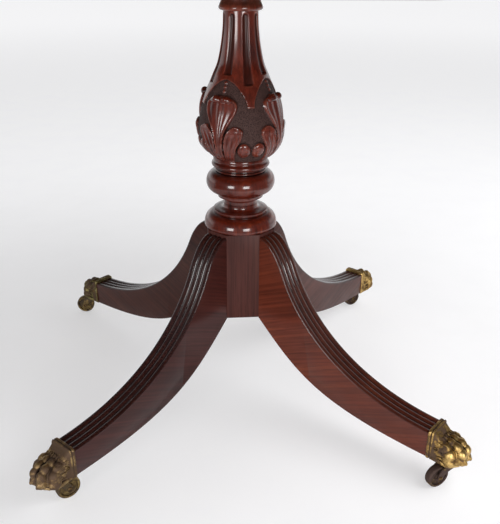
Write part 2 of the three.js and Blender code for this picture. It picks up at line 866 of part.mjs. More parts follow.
// A profile of [radius, x] points turned about the bolt's own axis along X.
function alongX(points, sides) {
  const profile = points.map(([radius, x]) => new THREE.Vector2(radius, x));
  const geometry = new THREE.LatheGeometry(profile, sides);
  geometry.rotateZ(-Math.PI / 2);
  geometry.translate(0, 0, BOLT_Z);
  return solid(geometry);
}

function boltCase() {
  const plateTop = TOP_UNDERSIDE - SEAT_GAP;
  const far = CASE_NEAR - CASE_LENGTH;
  const plate = box(far - 12, CASE_NEAR, -13, 13, plateTop - 2, plateTop);
  const barrel = box(far, CASE_NEAR - 1, -CASE_HALF, CASE_HALF, BOLT_Z - CASE_HALF, plateTop - 1);
  const inside = BOLT_RADIUS + SEAT_GAP;
  const bore = alongX(
    [
      [0, far - 2],
      [inside, far - 2],
      [inside, CASE_NEAR + 2],
      [0, CASE_NEAR + 2],
    ],
    16,
  );
  return plate.add(barrel).subtract(bore);
}

// The bolt with its turned knob. It is shown drawn back, so the top is free to tilt.
function slideBolt() {
  const knob = CASE_NEAR - CASE_LENGTH - 16;
  return alongX(
    [
      [0, knob - 8],
      [3.4, knob - 7.4],
      [5.6, knob - 4.6],
      [5.8, knob - 2],
      [4.2, knob],
      [2.6, knob + 1],
      [2.6, knob + 2.4],
      [BOLT_RADIUS, knob + 2.6],
      [BOLT_RADIUS, BOLT_TIP - 1.5],
      [BOLT_RADIUS - 1.2, BOLT_TIP],
      [0, BOLT_TIP],
    ],
    12,
  );
}

function keeperPlate() {
  const face = -BLOCK_LEFT - SEAT_GAP;
  const plate = box(face - KEEPER_THICKNESS, face, -16, 16, BOLT_Z - 9, BOLT_Z + 9);
  return plate.subtract(squareBar(face - KEEPER_THICKNESS - 1, face + 1, KEEPER_HOLE_HALF));
}

// ---- Assembly ----

add("table_top", tableTop(), MAHOGANY);
add("bearer_front", bearer(-1), MAHOGANY);
add("bearer_rear", bearer(1), MAHOGANY);
eachBearerScrew((screw, x, y, number) => {
  const seat = bearerScrewSeat(screw) - SEAT_GAP * 2;
  const made = screwUp(2, 4.6, bearerScrewLength(screw), 2.4, x, y, seat);
  add("bearer_screw_" + number, made, STEEL);
});
add("pivot_pin_front", pivotPin(-1), BRASS);
add("pivot_pin_rear", pivotPin(1), BRASS);
add("bolt_case", boltCase(), BRASS);
add("slide_bolt", slideBolt(), BRASS);
add("keeper_plate", keeperPlate(), BRASS);
add("top_block", topBlock(), SECONDARY_WOOD);
add("column", column(), MAHOGANY);
add("tenon_wedge", tenonWedge(), SECONDARY_WOOD);
add("pedestal_cap", pedestalCap(), MAHOGANY);
add("hub", hub(), MAHOGANY);
add("brace_plate", bracePlate(), IRON);
for (let side = 0; side < 4; side++) {
  const seat = HUB_BOTTOM - SEAT_GAP * 2 - PLATE_THICKNESS;
  add("plate_screw_" + (side + 1), screwUp(2, 4.4, 20, 2, PLATE_SCREW_RADIUS, 0, seat), STEEL, 90 * side);
}
for (const corner of CORNERS) {
  add("leg_" + corner.name, leg(), MAHOGANY, corner.leg);
  add("paw_" + corner.name, paw(), BRASS, corner.leg);
  add("paw_screw_left_" + corner.name, pawScrew(1), STEEL, corner.leg);
  add("paw_screw_right_" + corner.name, pawScrew(-1), STEEL, corner.leg);
  addCastor(corner);
}

export default table;
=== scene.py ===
import bmesh
import bpy
from math import atan2, copysign, cos, degrees, dist, exp, hypot, pi, radians, sin, sqrt
from mathutils import Matrix, Vector, noise


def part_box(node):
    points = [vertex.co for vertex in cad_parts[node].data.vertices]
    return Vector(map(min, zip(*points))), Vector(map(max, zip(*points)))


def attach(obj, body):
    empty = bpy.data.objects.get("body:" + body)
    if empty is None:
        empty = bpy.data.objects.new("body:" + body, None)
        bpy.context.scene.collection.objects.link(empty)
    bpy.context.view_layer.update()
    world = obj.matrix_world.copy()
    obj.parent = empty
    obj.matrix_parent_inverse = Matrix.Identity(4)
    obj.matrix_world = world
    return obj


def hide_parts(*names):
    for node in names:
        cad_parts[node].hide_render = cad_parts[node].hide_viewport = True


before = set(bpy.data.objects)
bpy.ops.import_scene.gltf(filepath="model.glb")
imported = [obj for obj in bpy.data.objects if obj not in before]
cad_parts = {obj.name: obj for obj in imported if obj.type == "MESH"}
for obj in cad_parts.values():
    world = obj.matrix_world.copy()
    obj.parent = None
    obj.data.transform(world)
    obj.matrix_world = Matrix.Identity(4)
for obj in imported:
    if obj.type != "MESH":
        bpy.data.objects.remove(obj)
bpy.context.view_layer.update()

mm = 0.001
corners = {  # each leg's polar angle and the way its castor trails, in degrees
    "front_left": (225, 32), "front_right": (315, 200), "rear_right": (45, 204), "rear_left": (135, 174),
}


def mode(kind):
    bpy.ops.object.mode_set(mode=kind)


def clearSelection():
    if bpy.context.object and bpy.context.object.mode == "EDIT":
        mode("OBJECT")
    for thing in bpy.context.selected_objects:
        thing.select_set(False)


def takeUp(piece):
    clearSelection()
    piece.select_set(True)
    bpy.context.view_layer.objects.active = piece


def newPiece(name):
    piece = bpy.context.object
    piece.name = piece.data.name = name
    return piece


def settle(piece):  # the place goes into the mesh
    takeUp(piece)
    bpy.ops.object.transform_apply()
    return piece


def placed(piece, at=(0, 0, 0), turn=(0, 0, 0)):
    piece.location = at
    piece.rotation_euler = [radians(angle) for angle in turn]
    return settle(piece)


def cleaned(piece, near=0.00001):
    takeUp(piece)
    mode("EDIT")
    bpy.ops.mesh.select_all(action="SELECT")
    bpy.ops.mesh.remove_doubles(threshold=near)
    bpy.ops.mesh.normals_make_consistent()
    mode("OBJECT")
    return piece


def smoothed(piece, angle=32):
    takeUp(piece)
    bpy.ops.object.shade_smooth_by_angle(angle=radians(angle))
    return piece


def modified(piece, kind, **values):
    takeUp(piece)
    change = piece.modifiers.new(kind.lower(), kind)
    for key, value in values.items():
        setattr(change, key, value)
    bpy.ops.object.modifier_apply(modifier=change.name)
    return piece


def eased(piece, width, segments=2, angle=30):  # every sharp edge a little rounded
    return modified(piece, "BEVEL", width=width, segments=segments, limit_method="ANGLE",
                    angle_limit=radians(angle))


def block(at, size):
    clearSelection()
    bpy.ops.mesh.primitive_cube_add(size=1, location=[v * mm for v in at], scale=[v * mm for v in size])
    return settle(newPiece("block"))


def rod(at, radius, deep, turn=(0, 0, 0), sides=48):
    clearSelection()
    bpy.ops.mesh.primitive_cylinder_add(
        vertices=sides, radius=radius * mm, depth=deep * mm,
        location=[v * mm for v in at], rotation=[radians(v) for v in turn])
    return settle(newPiece("rod"))


def joined(name, parts):
    takeUp(parts[0])
    for part in parts[1:]:
        part.select_set(True)
    bpy.ops.object.join()
    return newPiece(name)


def cutBy(piece, tool):
    modified(piece, "BOOLEAN", object=tool, operation="DIFFERENCE", solver="EXACT")
    bpy.data.objects.remove(tool)
    return piece


def copied(piece, name, turn=0):
    takeUp(piece)
    bpy.ops.object.duplicate()
    return placed(newPiece(name), turn=(0, 0, turn))


def shown(name, data):
    thing = bpy.data.objects.new(name, data)
    bpy.context.collection.objects.link(thing)
    return thing


def copyOfCad(node, name):
    return cleaned(shown(name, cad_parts[node].data.copy()), 0.00002)


def ringOf(name, points, closed=True):  # a line of vertices through the points
    clearSelection()
    bpy.ops.mesh.primitive_circle_add(vertices=len(points))
    piece = newPiece(name)
    mode("EDIT")
    shape = bmesh.from_edit_mesh(piece.data)
    shape.verts.ensure_lookup_table()
    for vertex, point in zip(shape.verts, points):
        vertex.co = point
    if not closed:
        ends = {shape.verts[0], shape.verts[len(points) - 1]}
        last = [edge for edge in shape.edges if set(edge.verts) == ends]
        bmesh.ops.delete(shape, geom=last, context="EDGES_FACES")
    bmesh.update_edit_mesh(piece.data)
    return piece


def spun(name, outline, steps, closed=False):  # outline as (radius, height) in mm
    piece = ringOf(name, [(r * mm, 0, z * mm) for r, z in outline], closed)
    bpy.ops.mesh.select_all(action="SELECT")
    bpy.ops.mesh.spin(steps=steps, angle=2 * pi, center=(0, 0, 0), axis=(0, 0, 1))
    return cleaned(piece)


def lofted(name, rings):  # one closed ring drawn on through the next, both ends filled
    piece = ringOf(name, rings[0])
    bpy.ops.mesh.select_all(action="SELECT")
    bpy.ops.mesh.edge_face_add()
    for ring in rings[1:]:
        bpy.ops.mesh.extrude_region_move()
        shape = bmesh.from_edit_mesh(piece.data)
        fresh = sorted((v for v in shape.verts if v.select), key=lambda v: v.index)
        for vertex, point in zip(fresh, ring):
            vertex.co = point
        bmesh.update_edit_mesh(piece.data)
    return cleaned(piece)


def rubbed(piece, rounds, reach):  # marks how far each point stands proud of its surroundings
    takeUp(piece)
    bpy.ops.object.duplicate()
    softened = modified(newPiece("eased"), "SMOOTH", factor=0.5, iterations=rounds)
    mark = piece.data.attributes.new("proud", "FLOAT", "POINT")
    for vertex, soft in zip(piece.data.vertices, softened.data.vertices):
        proud = (vertex.co - soft.co).dot(vertex.normal) / (reach * mm)
        mark.data[vertex.index].value = max(-1.5, min(1, proud))
    bpy.data.objects.remove(softened)
    return piece


def blend(value, low, high):
    t = min(1, max(0, (value - low) / (high - low)))
    return t * t * (3 - 2 * t)


def through(points, x):  # a smooth line through (x, y) points with rising x
    if x <= points[0][0]:
        return points[0][1]
    for i in range(len(points) - 1):
        x0, y0 = points[i]
        x1, y1 = points[i + 1]
        if x <= x1:
            before = points[max(0, i - 1)]
            after = points[min(len(points) - 1, i + 2)]
            slope0 = (y1 - before[1]) / (x1 - before[0])
            slope1 = (after[1] - y0) / (after[0] - x0)
            t = (x - x0) / (x1 - x0)
            span = x1 - x0
            a = (1 + 2 * t) * (1 - t) ** 2 * y0 + t * t * (3 - 2 * t) * y1
            return a + span * (t * (1 - t) ** 2 * slope0 - t * t * (1 - t) * slope1)
    return points[-1][1]


def curve(a, b, c, d, steps, first=0):  # evenly stepped points of one bezier
    points = []
    for i in range(first, steps + 1):
        t, s = i / steps, 1 - i / steps
        points.append([s ** 3 * p + 3 * s * s * t * q + 3 * s * t * t * r + t ** 3 * w
                       for p, q, r, w in zip(a, b, c, d)])
    return points


def wayOut(angle):  # level, towards a polar angle
    return Vector((cos(radians(angle)), sin(radians(angle)), 0))


def wayAlong(points, i):  # the way a line runs at one of its points
    ahead, behind = points[min(i + 1, len(points) - 1)], points[max(i - 1, 0)]
    return Vector((ahead[0] - behind[0], ahead[1] - behind[1])).normalized()


def shaderTree(name):
    finish = bpy.data.materials.new(name)
    finish.use_nodes = True
    return finish, finish.node_tree


def feed(tree, socket, value):  # wires the socket or sets it
    if isinstance(value, bpy.types.NodeSocket):
        tree.links.new(value, socket)
    else:
        socket.default_value = value


def put(tree, kind, values=(), **settings):  # a node with its sockets filled or wired
    item = tree.nodes.new("ShaderNode" + kind)
    for key, value in settings.items():
        setattr(item, key, value)
    for key, value in dict(values).items():
        feed(tree, item.inputs[key], value)
    return item


def ramped(tree, value, stops):
    item = put(tree, "ValToRGB", {"Fac": value})
    item.color_ramp.interpolation = "EASE"
    marks = item.color_ramp.elements
    stops = list(stops)
    while len(marks) < len(stops):
        marks.new(0.5)
    for mark, (place, shade) in zip(marks, stops):
        mark.position = place
        mark.color = (*shade, 1) if isinstance(shade, tuple) else (shade, shade, shade, 1)
    return item.outputs["Color"]


def between(tree, value, low, high):
    return ramped(tree, value, [(low, 0), (high, 1)])


def mixed(tree, share, first, second, how="MIX"):
    item = put(tree, "Mix", data_type="RGBA", blend_type=how)
    for index, value in ((0, share), (6, first), (7, second)):
        feed(tree, item.inputs[index], (*value, 1) if isinstance(value, tuple) else value)
    return item.outputs[2]


def reckoned(tree, how, first, second=0.0, clamp=False):
    item = put(tree, "Math", {0: first, 1: second}, operation=how, use_clamp=clamp)
    return item.outputs[0]


def times(tree, first, second, clamp=False):
    return reckoned(tree, "MULTIPLY", first, second, clamp)


def weighed(tree, first, share, second, other):  # two values added by their weights
    return reckoned(tree, "ADD", times(tree, first, share), times(tree, second, other))


def placeIn(tree):
    return put(tree, "TexCoord").outputs["Object"]


def markOf(tree, name):
    return put(tree, "Attribute", attribute_name=name).outputs["Fac"]


def lead(tree, values):  # feeds the sockets of the material's own shader
    for name, value in values.items():
        feed(tree, tree.nodes["Principled BSDF"].inputs[name], value)


def openness(tree, reach, low, high, samples=8, only_local=True):  # 0 in hollows, 1 in the open
    found = put(tree, "AmbientOcclusion", {"Distance": reach}, samples=samples, only_local=only_local)
    return between(tree, found.outputs["AO"], low, high)


def roughened(tree, height, strength, deep):
    return put(tree, "Bump", {"Height": height, "Strength": strength, "Distance": deep}).outputs[0]


def alongGrain(tree, turn=0.0, tilt=0.0, shift=(0, 0, 0)):  # X runs with the grain
    turned = put(tree, "Mapping", {"Vector": placeIn(tree), "Rotation": (0, 0, radians(-turn))})
    tilted = put(tree, "Mapping", {"Vector": turned.outputs[0], "Location": shift,
                                   "Rotation": (0, radians(tilt), 0)})
    return tilted.outputs[0]


def noiseOf(tree, place, scale, detail, rough, bent=0.0, along=None):  # along: closeness on each axis
    if along:
        place = put(tree, "Mapping", {"Vector": place, "Scale": along}).outputs[0]
    values = {"Vector": place, "Scale": scale, "Detail": detail, "Roughness": rough, "Distortion": bent}
    return put(tree, "TexNoise", values).outputs["Fac"]


mahoganyLook = {
    "tones": ((0.028, 0.003, 0.0014), (0.088, 0.0092, 0.003), (0.2, 0.031, 0.0065)),  # dark to light
    # the hollow colour: painted shade with some grime, put into hollows, creases, flutes and under other
    # pieces
    "hollow": (0.009, 0.0025, 0.002),
    "rubbed": (0.21, 0.05, 0.022),
    "groundDark": (0.016, 0.0075, 0.0065),
    "groundLight": (0.06, 0.031, 0.027),
    "figure": 9,
    "pores": 260,
    "rough": (0.28, 0.44),
    "coat": 1,
    "coatRough": 0.06,
    "sheer": 0.15,  # shine of the wood itself under its polish
    "hollowReach": 0.01,
    # how much the proud parts are worn lighter; it also switches on painted shade in the creases
    "wear": 0,
    "reedDark": 0,  # how much painted shade darkens flutes or reeds, and their own polish
    "reedCoat": 0.15,
    "shadeReach": 0,  # how far off other pieces cast painted shadow on it
}


def mahogany(name, turn=0.0, tilt=0.0, shift=(0, 0, 0), ground=False, **changes):
    look = {**mahoganyLook, **changes}
    finish, tree = shaderTree(name)
    grain = alongGrain(tree, turn, tilt, shift)
    broad = noiseOf(tree, grain, look["figure"] / 4, 4, 0.55, 0.7, along=(1.1, 7, 7))
    bands = noiseOf(tree, grain, look["figure"] / 2, 5, 0.6, 0.25, along=(0.5, 16, 16))
    pores = noiseOf(tree, grain, look["pores"] * 2, 2, 0.7, along=(0.03, 1, 1))
    fibres = noiseOf(tree, grain, look["pores"], 3, 0.6, along=(0.02, 1, 1))
    figure = weighed(tree, broad, 0.55, bands, 0.45)
    colour = ramped(tree, figure, zip((0.32, 0.5, 0.7), look["tones"]))
    lines = ramped(tree, fibres, [(0.36, 0.66), (0.62, 1.08)])
    colour = mixed(tree, 0.8, colour, lines, "MULTIPLY")
    specks = ramped(tree, pores, [(0.3, 0.45), (0.4, 1)])
    colour = mixed(tree, 0.7, colour, specks, "MULTIPLY")
    open01 = openness(tree, look["hollowReach"], 0.3, 0.82)
    handling = noiseOf(tree, grain, 22, 3, 0.6)
    if look["wear"]:
        proud = markOf(tree, "proud")
        touched = times(tree, proud, handling)
        thin = ramped(tree, touched, [(0.1, 0), (0.42, look["wear"])])
        colour = mixed(tree, thin, colour, look["rubbed"])
        # painted shade in the creases, where the surface lies below its surroundings
        sunk = ramped(tree, times(tree, proud, -1), [(0.15, 0), (0.9, 0.75)])
        colour = mixed(tree, sunk, colour, look["hollow"])
    # darker in the hollows found by ambient occlusion: old polish grime and painted shade
    colour = mixed(tree, open01, look["hollow"], colour)
    polish = look["coat"]
    # painted shade in the flutes and on the legs' reeded tops
    if look["reedDark"]:
        reed = markOf(tree, "reed")
        gain = times(tree, reed, look["reedCoat"] - polish)
        polish = reckoned(tree, "ADD", gain, polish)
        colour = mixed(tree, times(tree, reed, look["reedDark"]), colour, look["hollow"])
    # painted shadow cast by other pieces nearby, such as the block and top over the collar
    if look["shadeReach"]:
        lit = openness(tree, look["shadeReach"], 0.45, 0.9, samples=12, only_local=False)
        colour = mixed(tree, lit, look["hollow"], colour)
    rough = ramped(tree, handling, [(0.3, look["rough"][0]), (0.7, look["rough"][1])])
    relief = weighed(tree, pores, 0.5, fibres, 0.4)
    if ground:  # the background of the carving, dulled and pricked all over with a punch
        mark = markOf(tree, "ground")
        punch = put(tree, "TexVoronoi", {"Vector": placeIn(tree), "Scale": 560, "Randomness": 0.8})
        dots = between(tree, punch.outputs["Distance"], 0.15, 0.55)
        dull = mixed(tree, dots, look["groundDark"], look["groundLight"])
        # grime and painted shade in the ground's hollows
        dull = mixed(tree, open01, look["hollow"], dull)
        colour = mixed(tree, mark, colour, dull)
        rough = mixed(tree, mark, rough, (0.62, 0.62, 0.62))
        grainy = times(tree, times(tree, dots, mark), 11)
        relief = reckoned(tree, "ADD", relief, grainy)
        polish = times(tree, reckoned(tree, "SUBTRACT", 1, mark), polish)
    lead(tree, {"Base Color": colour, "Roughness": rough, "Normal": roughened(tree, relief, 0.55, 0.00006),
                "Coat Weight": polish, "Coat Roughness": look["coatRough"], "Coat IOR": 1.6,
                "Specular IOR Level": look["sheer"]})
    return finish


brassLook = {
    "bright": (0.66, 0.45, 0.17),
    "worn": (0.4, 0.25, 0.085),
    "brown": (0.105, 0.062, 0.036),
    "soot": (0.022, 0.013, 0.009),
    "rough": (0.42, 0.66),
    "patina": 0.3,  # how much of it has gone brown
    "reach": 0.006,
    "scale": 55,
    "rubbed": 0.17,
    "toe": 0,  # how much brighter it is from the cuff out to the claws
}


def brass(name, **changes):
    look = {**brassLook, **changes}
    finish, tree = shaderTree(name)
    place = placeIn(tree)
    clouds = noiseOf(tree, place, look["scale"], 5, 0.62, 0.4)
    flecks = noiseOf(tree, place, look["scale"] * 6, 3, 0.6)
    open01 = openness(tree, look["reach"], 0.3, 0.88)
    spread = reckoned(tree, "SUBTRACT", weighed(tree, clouds, 1.7, flecks, 0.45), 0.5)
    proud = markOf(tree, "proud")
    handled = reckoned(tree, "ADD", spread, times(tree, proud, look["rubbed"]))
    away = put(tree, "VectorMath", {0: place}, operation="LENGTH").outputs["Value"]
    toeward = ramped(tree, reckoned(tree, "SUBTRACT", away, 0.38), [(0.012, 0), (0.05, look["toe"])])
    handled = reckoned(tree, "ADD", handled, toeward)
    kept = reckoned(tree, "SUBTRACT", handled, look["patina"])
    kept = times(tree, kept, open01, clamp=True)
    colour = ramped(tree, kept, [(0.05, look["brown"]), (0.22, look["worn"]), (0.42, look["bright"])])
    colour = mixed(tree, open01, look["soot"], colour)
    metal = ramped(tree, kept, [(0, 0.55), (0.2, 1)])
    rough = ramped(tree, kept, [(0.05, look["rough"][1]), (0.4, look["rough"][0])])
    lead(tree, {"Base Color": colour, "Metallic": metal, "Roughness": rough,
                "Normal": roughened(tree, spread, 0.4, 0.0006)})
    return finish


def plainMetal(name, colour, dark, roughRange, metal):
    finish, tree = shaderTree(name)
    clouds = noiseOf(tree, placeIn(tree), 130, 5, 0.65)
    shade = ramped(tree, clouds, [(0.35, dark), (0.65, colour)])
    rough = ramped(tree, clouds, [(0.3, roughRange[1]), (0.7, roughRange[0])])
    lead(tree, {"Base Color": shade, "Metallic": metal, "Roughness": rough,
                "Normal": roughened(tree, clouds, 0.35, 0.0004)})
    return finish


def rawWood(name):  # the dry, unpolished wood under the top
    finish, tree = shaderTree(name)
    grain = alongGrain(tree, 90)
    broad = noiseOf(tree, grain, 4, 4, 0.6, 0.5, along=(0.6, 9, 9))
    fibres = noiseOf(tree, grain, 300, 3, 0.6, along=(0.02, 1, 1))
    colour = ramped(tree, broad, [(0.35, (0.1, 0.045, 0.022)), (0.65, (0.22, 0.115, 0.06))])
    colour = mixed(tree, 0.8, colour, ramped(tree, fibres, [(0.3, 0.6), (0.6, 1.1)]), "MULTIPLY")
    lead(tree, {"Base Color": colour, "Roughness": 0.62, "Normal": roughened(tree, fibres, 0.5, 0.0002)})
    return finish


def dressed(piece, finish, body, slot, *nodes):
    piece.data.materials.clear()
    piece.data.materials.append(finish)
    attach(piece, body)
    if nodes:
        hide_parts(*nodes)
    return piece


columnShape = {
    "around": 360,
    "levels": 226,
    "leafStart": 236,  # polar angle of the first leaf, degrees
    "trunk": [(426.5, 41.4), (438, 54.6), (452, 63.4), (468, 66.5), (490, 65.3), (512, 60.3), (532, 52.6),
              (550, 44.5), (572, 36.2), (597, 30.7), (625, 27.2), (652, 26.2)],
    "leafHalf": [(427, 3.2), (440, 4.4), (460, 5.4), (476, 7.4), (488, 11.8), (498, 17), (508, 22.4),
                 (516, 24.6), (522, 24), (525.5, 21), (528, 15), (529.5, 8)],
    "leafRise": [(427, 1.4), (436, 3.4), (450, 4.8), (480, 5), (500, 4.6), (514, 5), (524, 5.6),
                 (530, 5.2)],
    "lobeInner": [(427, 3.8), (440, 5.2), (460, 6.3), (474, 8.4), (482, 12), (486.5, 16.5), (489.5, 20.4)],
    "lobeOuter": [(427, 17.5), (436, 19.5), (444, 21), (454, 23.4), (462, 26.6), (470, 30.2), (478, 32.4),
                  (484, 31.4), (487.5, 27.4), (489.5, 21.8)],
    "flute": {"half": 10.2, "depth": 3.4, "top": 646.5, "bottom": 545.5, "bottomOverLeaf": 559.5},
    "arch": {"level": 515, "rise": 38.5, "halfAngle": 40},
    "oval": {"off": 34.2, "level": 450.8, "halfAngle": 9.4, "halfHeight": 12.2, "rise": 3.7},
    "pit": {"off": 45, "level": 437, "halfAngle": 5.2, "halfHeight": 8, "depth": 3},
    "beads": {"levels": (549.3, 543.6, 537.6), "radius": 2.7, "rise": 2.2},
}


def archEdge(off):  # height of the smooth neck's carved border
    arch = columnShape["arch"]
    if off >= arch["halfAngle"]:
        return arch["level"]
    return arch["level"] + arch["rise"] * (1 - (off / arch["halfAngle"]) ** 1.8) ** 0.6


def offLeaf(angle):  # degrees from the middle of the nearest leaf
    return (angle - columnShape["leafStart"] + 45) % 90 - 45


def fluteHollow(off, z):
    flute = columnShape["flute"]
    across = abs((off + 22.5) % 45 - 22.5) / flute["half"]
    if across >= 1:
        return 0.0
    bottom = flute["bottomOverLeaf" if off < 22.5 else "bottom"] + 0.6 * across ** 2
    top = flute["top"] - 5 * (1 - sqrt(1 - across ** 2))
    reach = blend(z, bottom - 0.6, bottom + 1.2) * (1 - blend(z, top - 2.4, top))
    return flute["depth"] * (1 - across ** 2) ** 0.62 * reach


def reachOf(spot, off, z):  # 1 on the spot's outline
    return hypot((off - spot["off"]) / spot["halfAngle"], (z - spot["level"]) / spot["halfHeight"])


def wave(turns):  # half a wave from 0 to 1
    return sin(pi * turns)


def carvedAt(angle, z, lines):  # how far the surface stands out, and whether it is punched ground
    leafOff = offLeaf(angle)
    off = abs(leafOff)
    edge = archEdge(off)
    neck = blend(z, edge - 0.5, edge + 0.7)
    neckRise = 1.2 * (1 - blend(z, 556, 576)) - fluteHollow(off, z)
    groundRise = -0.9 - 0.7 * exp(-max(0, edge - z) / 2.2)
    rise = groundRise + (neckRise - groundRise) * neck
    ground = 1 - neck
    if neck > 0.99:
        return rise, 0.0
    foot = blend(z, 426.5, 434)
    leaf = 0.0
    half = lines["leafHalf"]
    if z < 532 and off < half + 0.8:
        t = off / half
        inside = 1 - blend(off, half - 0.9, half + 0.7)
        deep = 0.8 + 1.5 * blend(z, 448, 486)
        channel = deep * (0.62 * wave(min(1, t)) ** 2 + 0.38 * wave(2 * min(1, t)) ** 2)
        rounded = 0.9 * blend(t, 0.86, 1)
        leaf = max(leaf, inside * (lines["leafRise"] - channel - rounded + 1.1) * foot)
    inner, outer = lines["lobeInner"], lines["lobeOuter"]
    if z < 489 and inner - 0.5 < off < outer + 0.8:
        t = min(1, max(0, (off - inner) / (outer - inner)))
        inside = blend(off, inner - 0.4, inner + 0.9) * (1 - blend(off, outer - 0.9, outer + 0.7))
        channel = wave(t) ** 1.5 + 1.15 * wave(3 * t) ** 2 * (1 - blend(z, 460, 486))
        curl = 1.5 * exp(-((z - 481) / 6) ** 2)
        leaf = max(leaf, inside * (4.2 - channel + curl) * foot)
    oval, pit, beads = columnShape["oval"], columnShape["pit"], columnShape["beads"]
    reach = reachOf(oval, off, z)
    if reach < 1.3:  # a button in its own ring, with the ground sunk about it
        rise -= 2.0 * exp(-((reach - 1.13) / 0.1) ** 2)
        if reach < 1:
            leaf = max(leaf, oval["rise"] * (1 - reach ** 2.6) ** 0.6)
    rise -= pit["depth"] * (1 - blend(reachOf(pit, off, z), 0.3, 1))
    for level in beads["levels"]:
        reach = hypot(radians(leafOff) * lines["trunk"], z - level) / beads["radius"]
        if reach < 1:
            leaf = max(leaf, beads["rise"] * sqrt(1 - reach ** 2))
    covered = blend(leaf, 0.25, 0.9)
    return rise + leaf, ground * (1 - covered)


def carvedColumn():
    bottom, top = columnShape["trunk"][0][0], columnShape["trunk"][-1][0]
    count = columnShape["levels"]
    levels = [bottom + (top - bottom) * i / count for i in range(count + 1)]
    outline = [(0, bottom)] + [(through(columnShape["trunk"], z), z) for z in levels] + [(0, top)]
    piece = spun("column_carving", outline, columnShape["around"])
    mark = piece.data.attributes.new("ground", "FLOAT", "POINT")
    # the flutes, marked for their painted shade
    flutes = piece.data.attributes.new("reed", "FLOAT", "POINT")
    known = {}
    for vertex in piece.data.vertices:
        x, y, z = vertex.co / mm
        radius = hypot(x, y)
        if radius < 5:
            continue
        key = round(z, 3)
        if key not in known:
            known[key] = {part: through(columnShape[part], z) for part in
                          ("trunk", "leafHalf", "leafRise", "lobeInner", "lobeOuter")}
        angle = degrees(atan2(y, x))
        rise, ground = carvedAt(angle, z, known[key])
        rise *= blend(z, 426.5, 428)
        vertex.co = Vector((x, y, 0)) * mm * (1 + rise / radius) + Vector((0, 0, z * mm))
        mark.data[vertex.index].value = ground
        flutes.data[vertex.index].value = blend(fluteHollow(abs(offLeaf(angle)), z), 0.5, 2.2)
    return smoothed(rubbed(piece, 14, 0.7), 60)


scrollShape = {"level": 526.6, "out": 55.5, "roll": 5, "tighter": 0.42, "around": 300, "turns": 15,
               "sheet": 2.4, "spread": 17.5, "stations": 22}


def leafScroll(name, angle):  # the leaf's tip, rolled over outwards
    spine = [(0.6, -12.5), (0.4, -8), (0.1, -3.6)]
    roll, turns = scrollShape["roll"], scrollShape["turns"]
    for i in range(turns + 1):
        swing = radians(180 - scrollShape["around"] * i / turns)
        tight = roll * (1 - scrollShape["tighter"] * i / turns)
        spine.append((roll - 0.1 + tight * cos(swing), tight * sin(swing)))
    rings = []
    for station in range(scrollShape["stations"] + 1):
        t = 2 * station / scrollShape["stations"] - 1
        swell = 1.0 + 0.13 * cos(2.1 * pi * t + 2.9) - 0.2 * abs(t) ** 6
        lift = -1.4 * abs(t) ** 3 + 0.7 * cos(2.1 * pi * t + 2.9)
        half = scrollShape["sheet"] / 2 * (1 - 0.3 * abs(t) ** 4)
        outer, inner = [], []
        for i, (out, up) in enumerate(spine):
            way = wayAlong(spine, i)
            side = Vector((-way.y, way.x)) * half
            outer.append((out + side.x, up + side.y))
            inner.append((out - side.x, up - side.y))
        turn = radians(angle + scrollShape["spread"] * t)
        ring = []
        for out, up in outer + inner[::-1]:
            radius = (scrollShape["out"] + out * swell) * mm
            height = (scrollShape["level"] + lift + up * swell) * mm
            ring.append((radius * cos(turn), radius * sin(turn), height))
        rings.append(ring)
    return smoothed(eased(lofted(name, rings), 0.0004, 2, 50), 60)


def arcLine(centre, radius, start, end, steps):  # points round part of an ellipse
    line = []
    for i in range(steps + 1):
        swing = radians(start + (end - start) * i / steps)
        line.append((centre[0] + radius[0] * cos(swing), centre[1] + radius[1] * sin(swing)))
    return line


def turnedColumn():
    collar = [(0, 648.4), (25.8, 648.4), (26.4, 648.7), (28.6, 649)]
    collar += arcLine((29.2, 653.2), (4.1, 4.1), -84, 28, 12)
    collar += curve((32.8, 655.4), (31.8, 658.6), (30, 660), (29.6, 664.6), 6, first=1)
    collar += [(29.6, 672.2), (29.2, 672.7), (20, 672.7), (20, 720), (0, 720)]
    head = spun("column_collar", collar, 128)
    head = smoothed(eased(cutBy(head, block((0, 0, 712), (3.2, 80, 25))), 0.0003, 1, 60), 40)
    rings = [(0, 215), (16, 215), (16, 350.2), (27.4, 350.2), (27.5, 355.4), (28, 358)]
    rings += [(29.6, 359.9), (32.4, 360.9), (36.2, 361.1), (37, 361.6), (37.1, 366.2), (37.7, 367),
              (40.6, 367.6)]
    rings += arcLine((41.2, 387.4), (14.6, 17.4), -86, 82, 36) + [(41, 404.9)]
    rings += arcLine((39.4, 407.2), (2.4, 2.2), -76, 78, 12)
    rings += [(39.4, 409.9), (39.3, 410.9), (39.9, 411.8), (41.4, 412.5)]
    rings += arcLine((42.6, 416.8), (4.2, 4.1), -70, 66, 16)
    rings += [(43.4, 421.3), (42.9, 422.4), (42.9, 423.2), (43.6, 423.6), (44, 424.4), (44, 427.6)]
    rings += [(43.4, 428.6), (42.6, 429), (40.8, 429.4), (0, 429.4)]
    return head, smoothed(spun("column_rings", rings, 128), 40)


def turnedCap():
    outline = [(16.3, 349.6), (27.4, 349.6), (27.4, 346), (27.9, 343.8), (29.6, 342.3), (32.6, 341.5),
               (37, 341.2)]
    outline += [(43.4, 341.2), (44.4, 340.6), (44.6, 336.2), (44.1, 335.4), (45.2, 334.9)]
    outline += arcLine((45.6, 316.6), (14.3, 18.3), 88, 0, 28)
    outline += [(59.9, 314), (59.3, 312.6), (57.6, 311.4), (16.3, 311.4)]
    return smoothed(spun("pedestal_cap_turning", outline, 144, closed=True), 40)


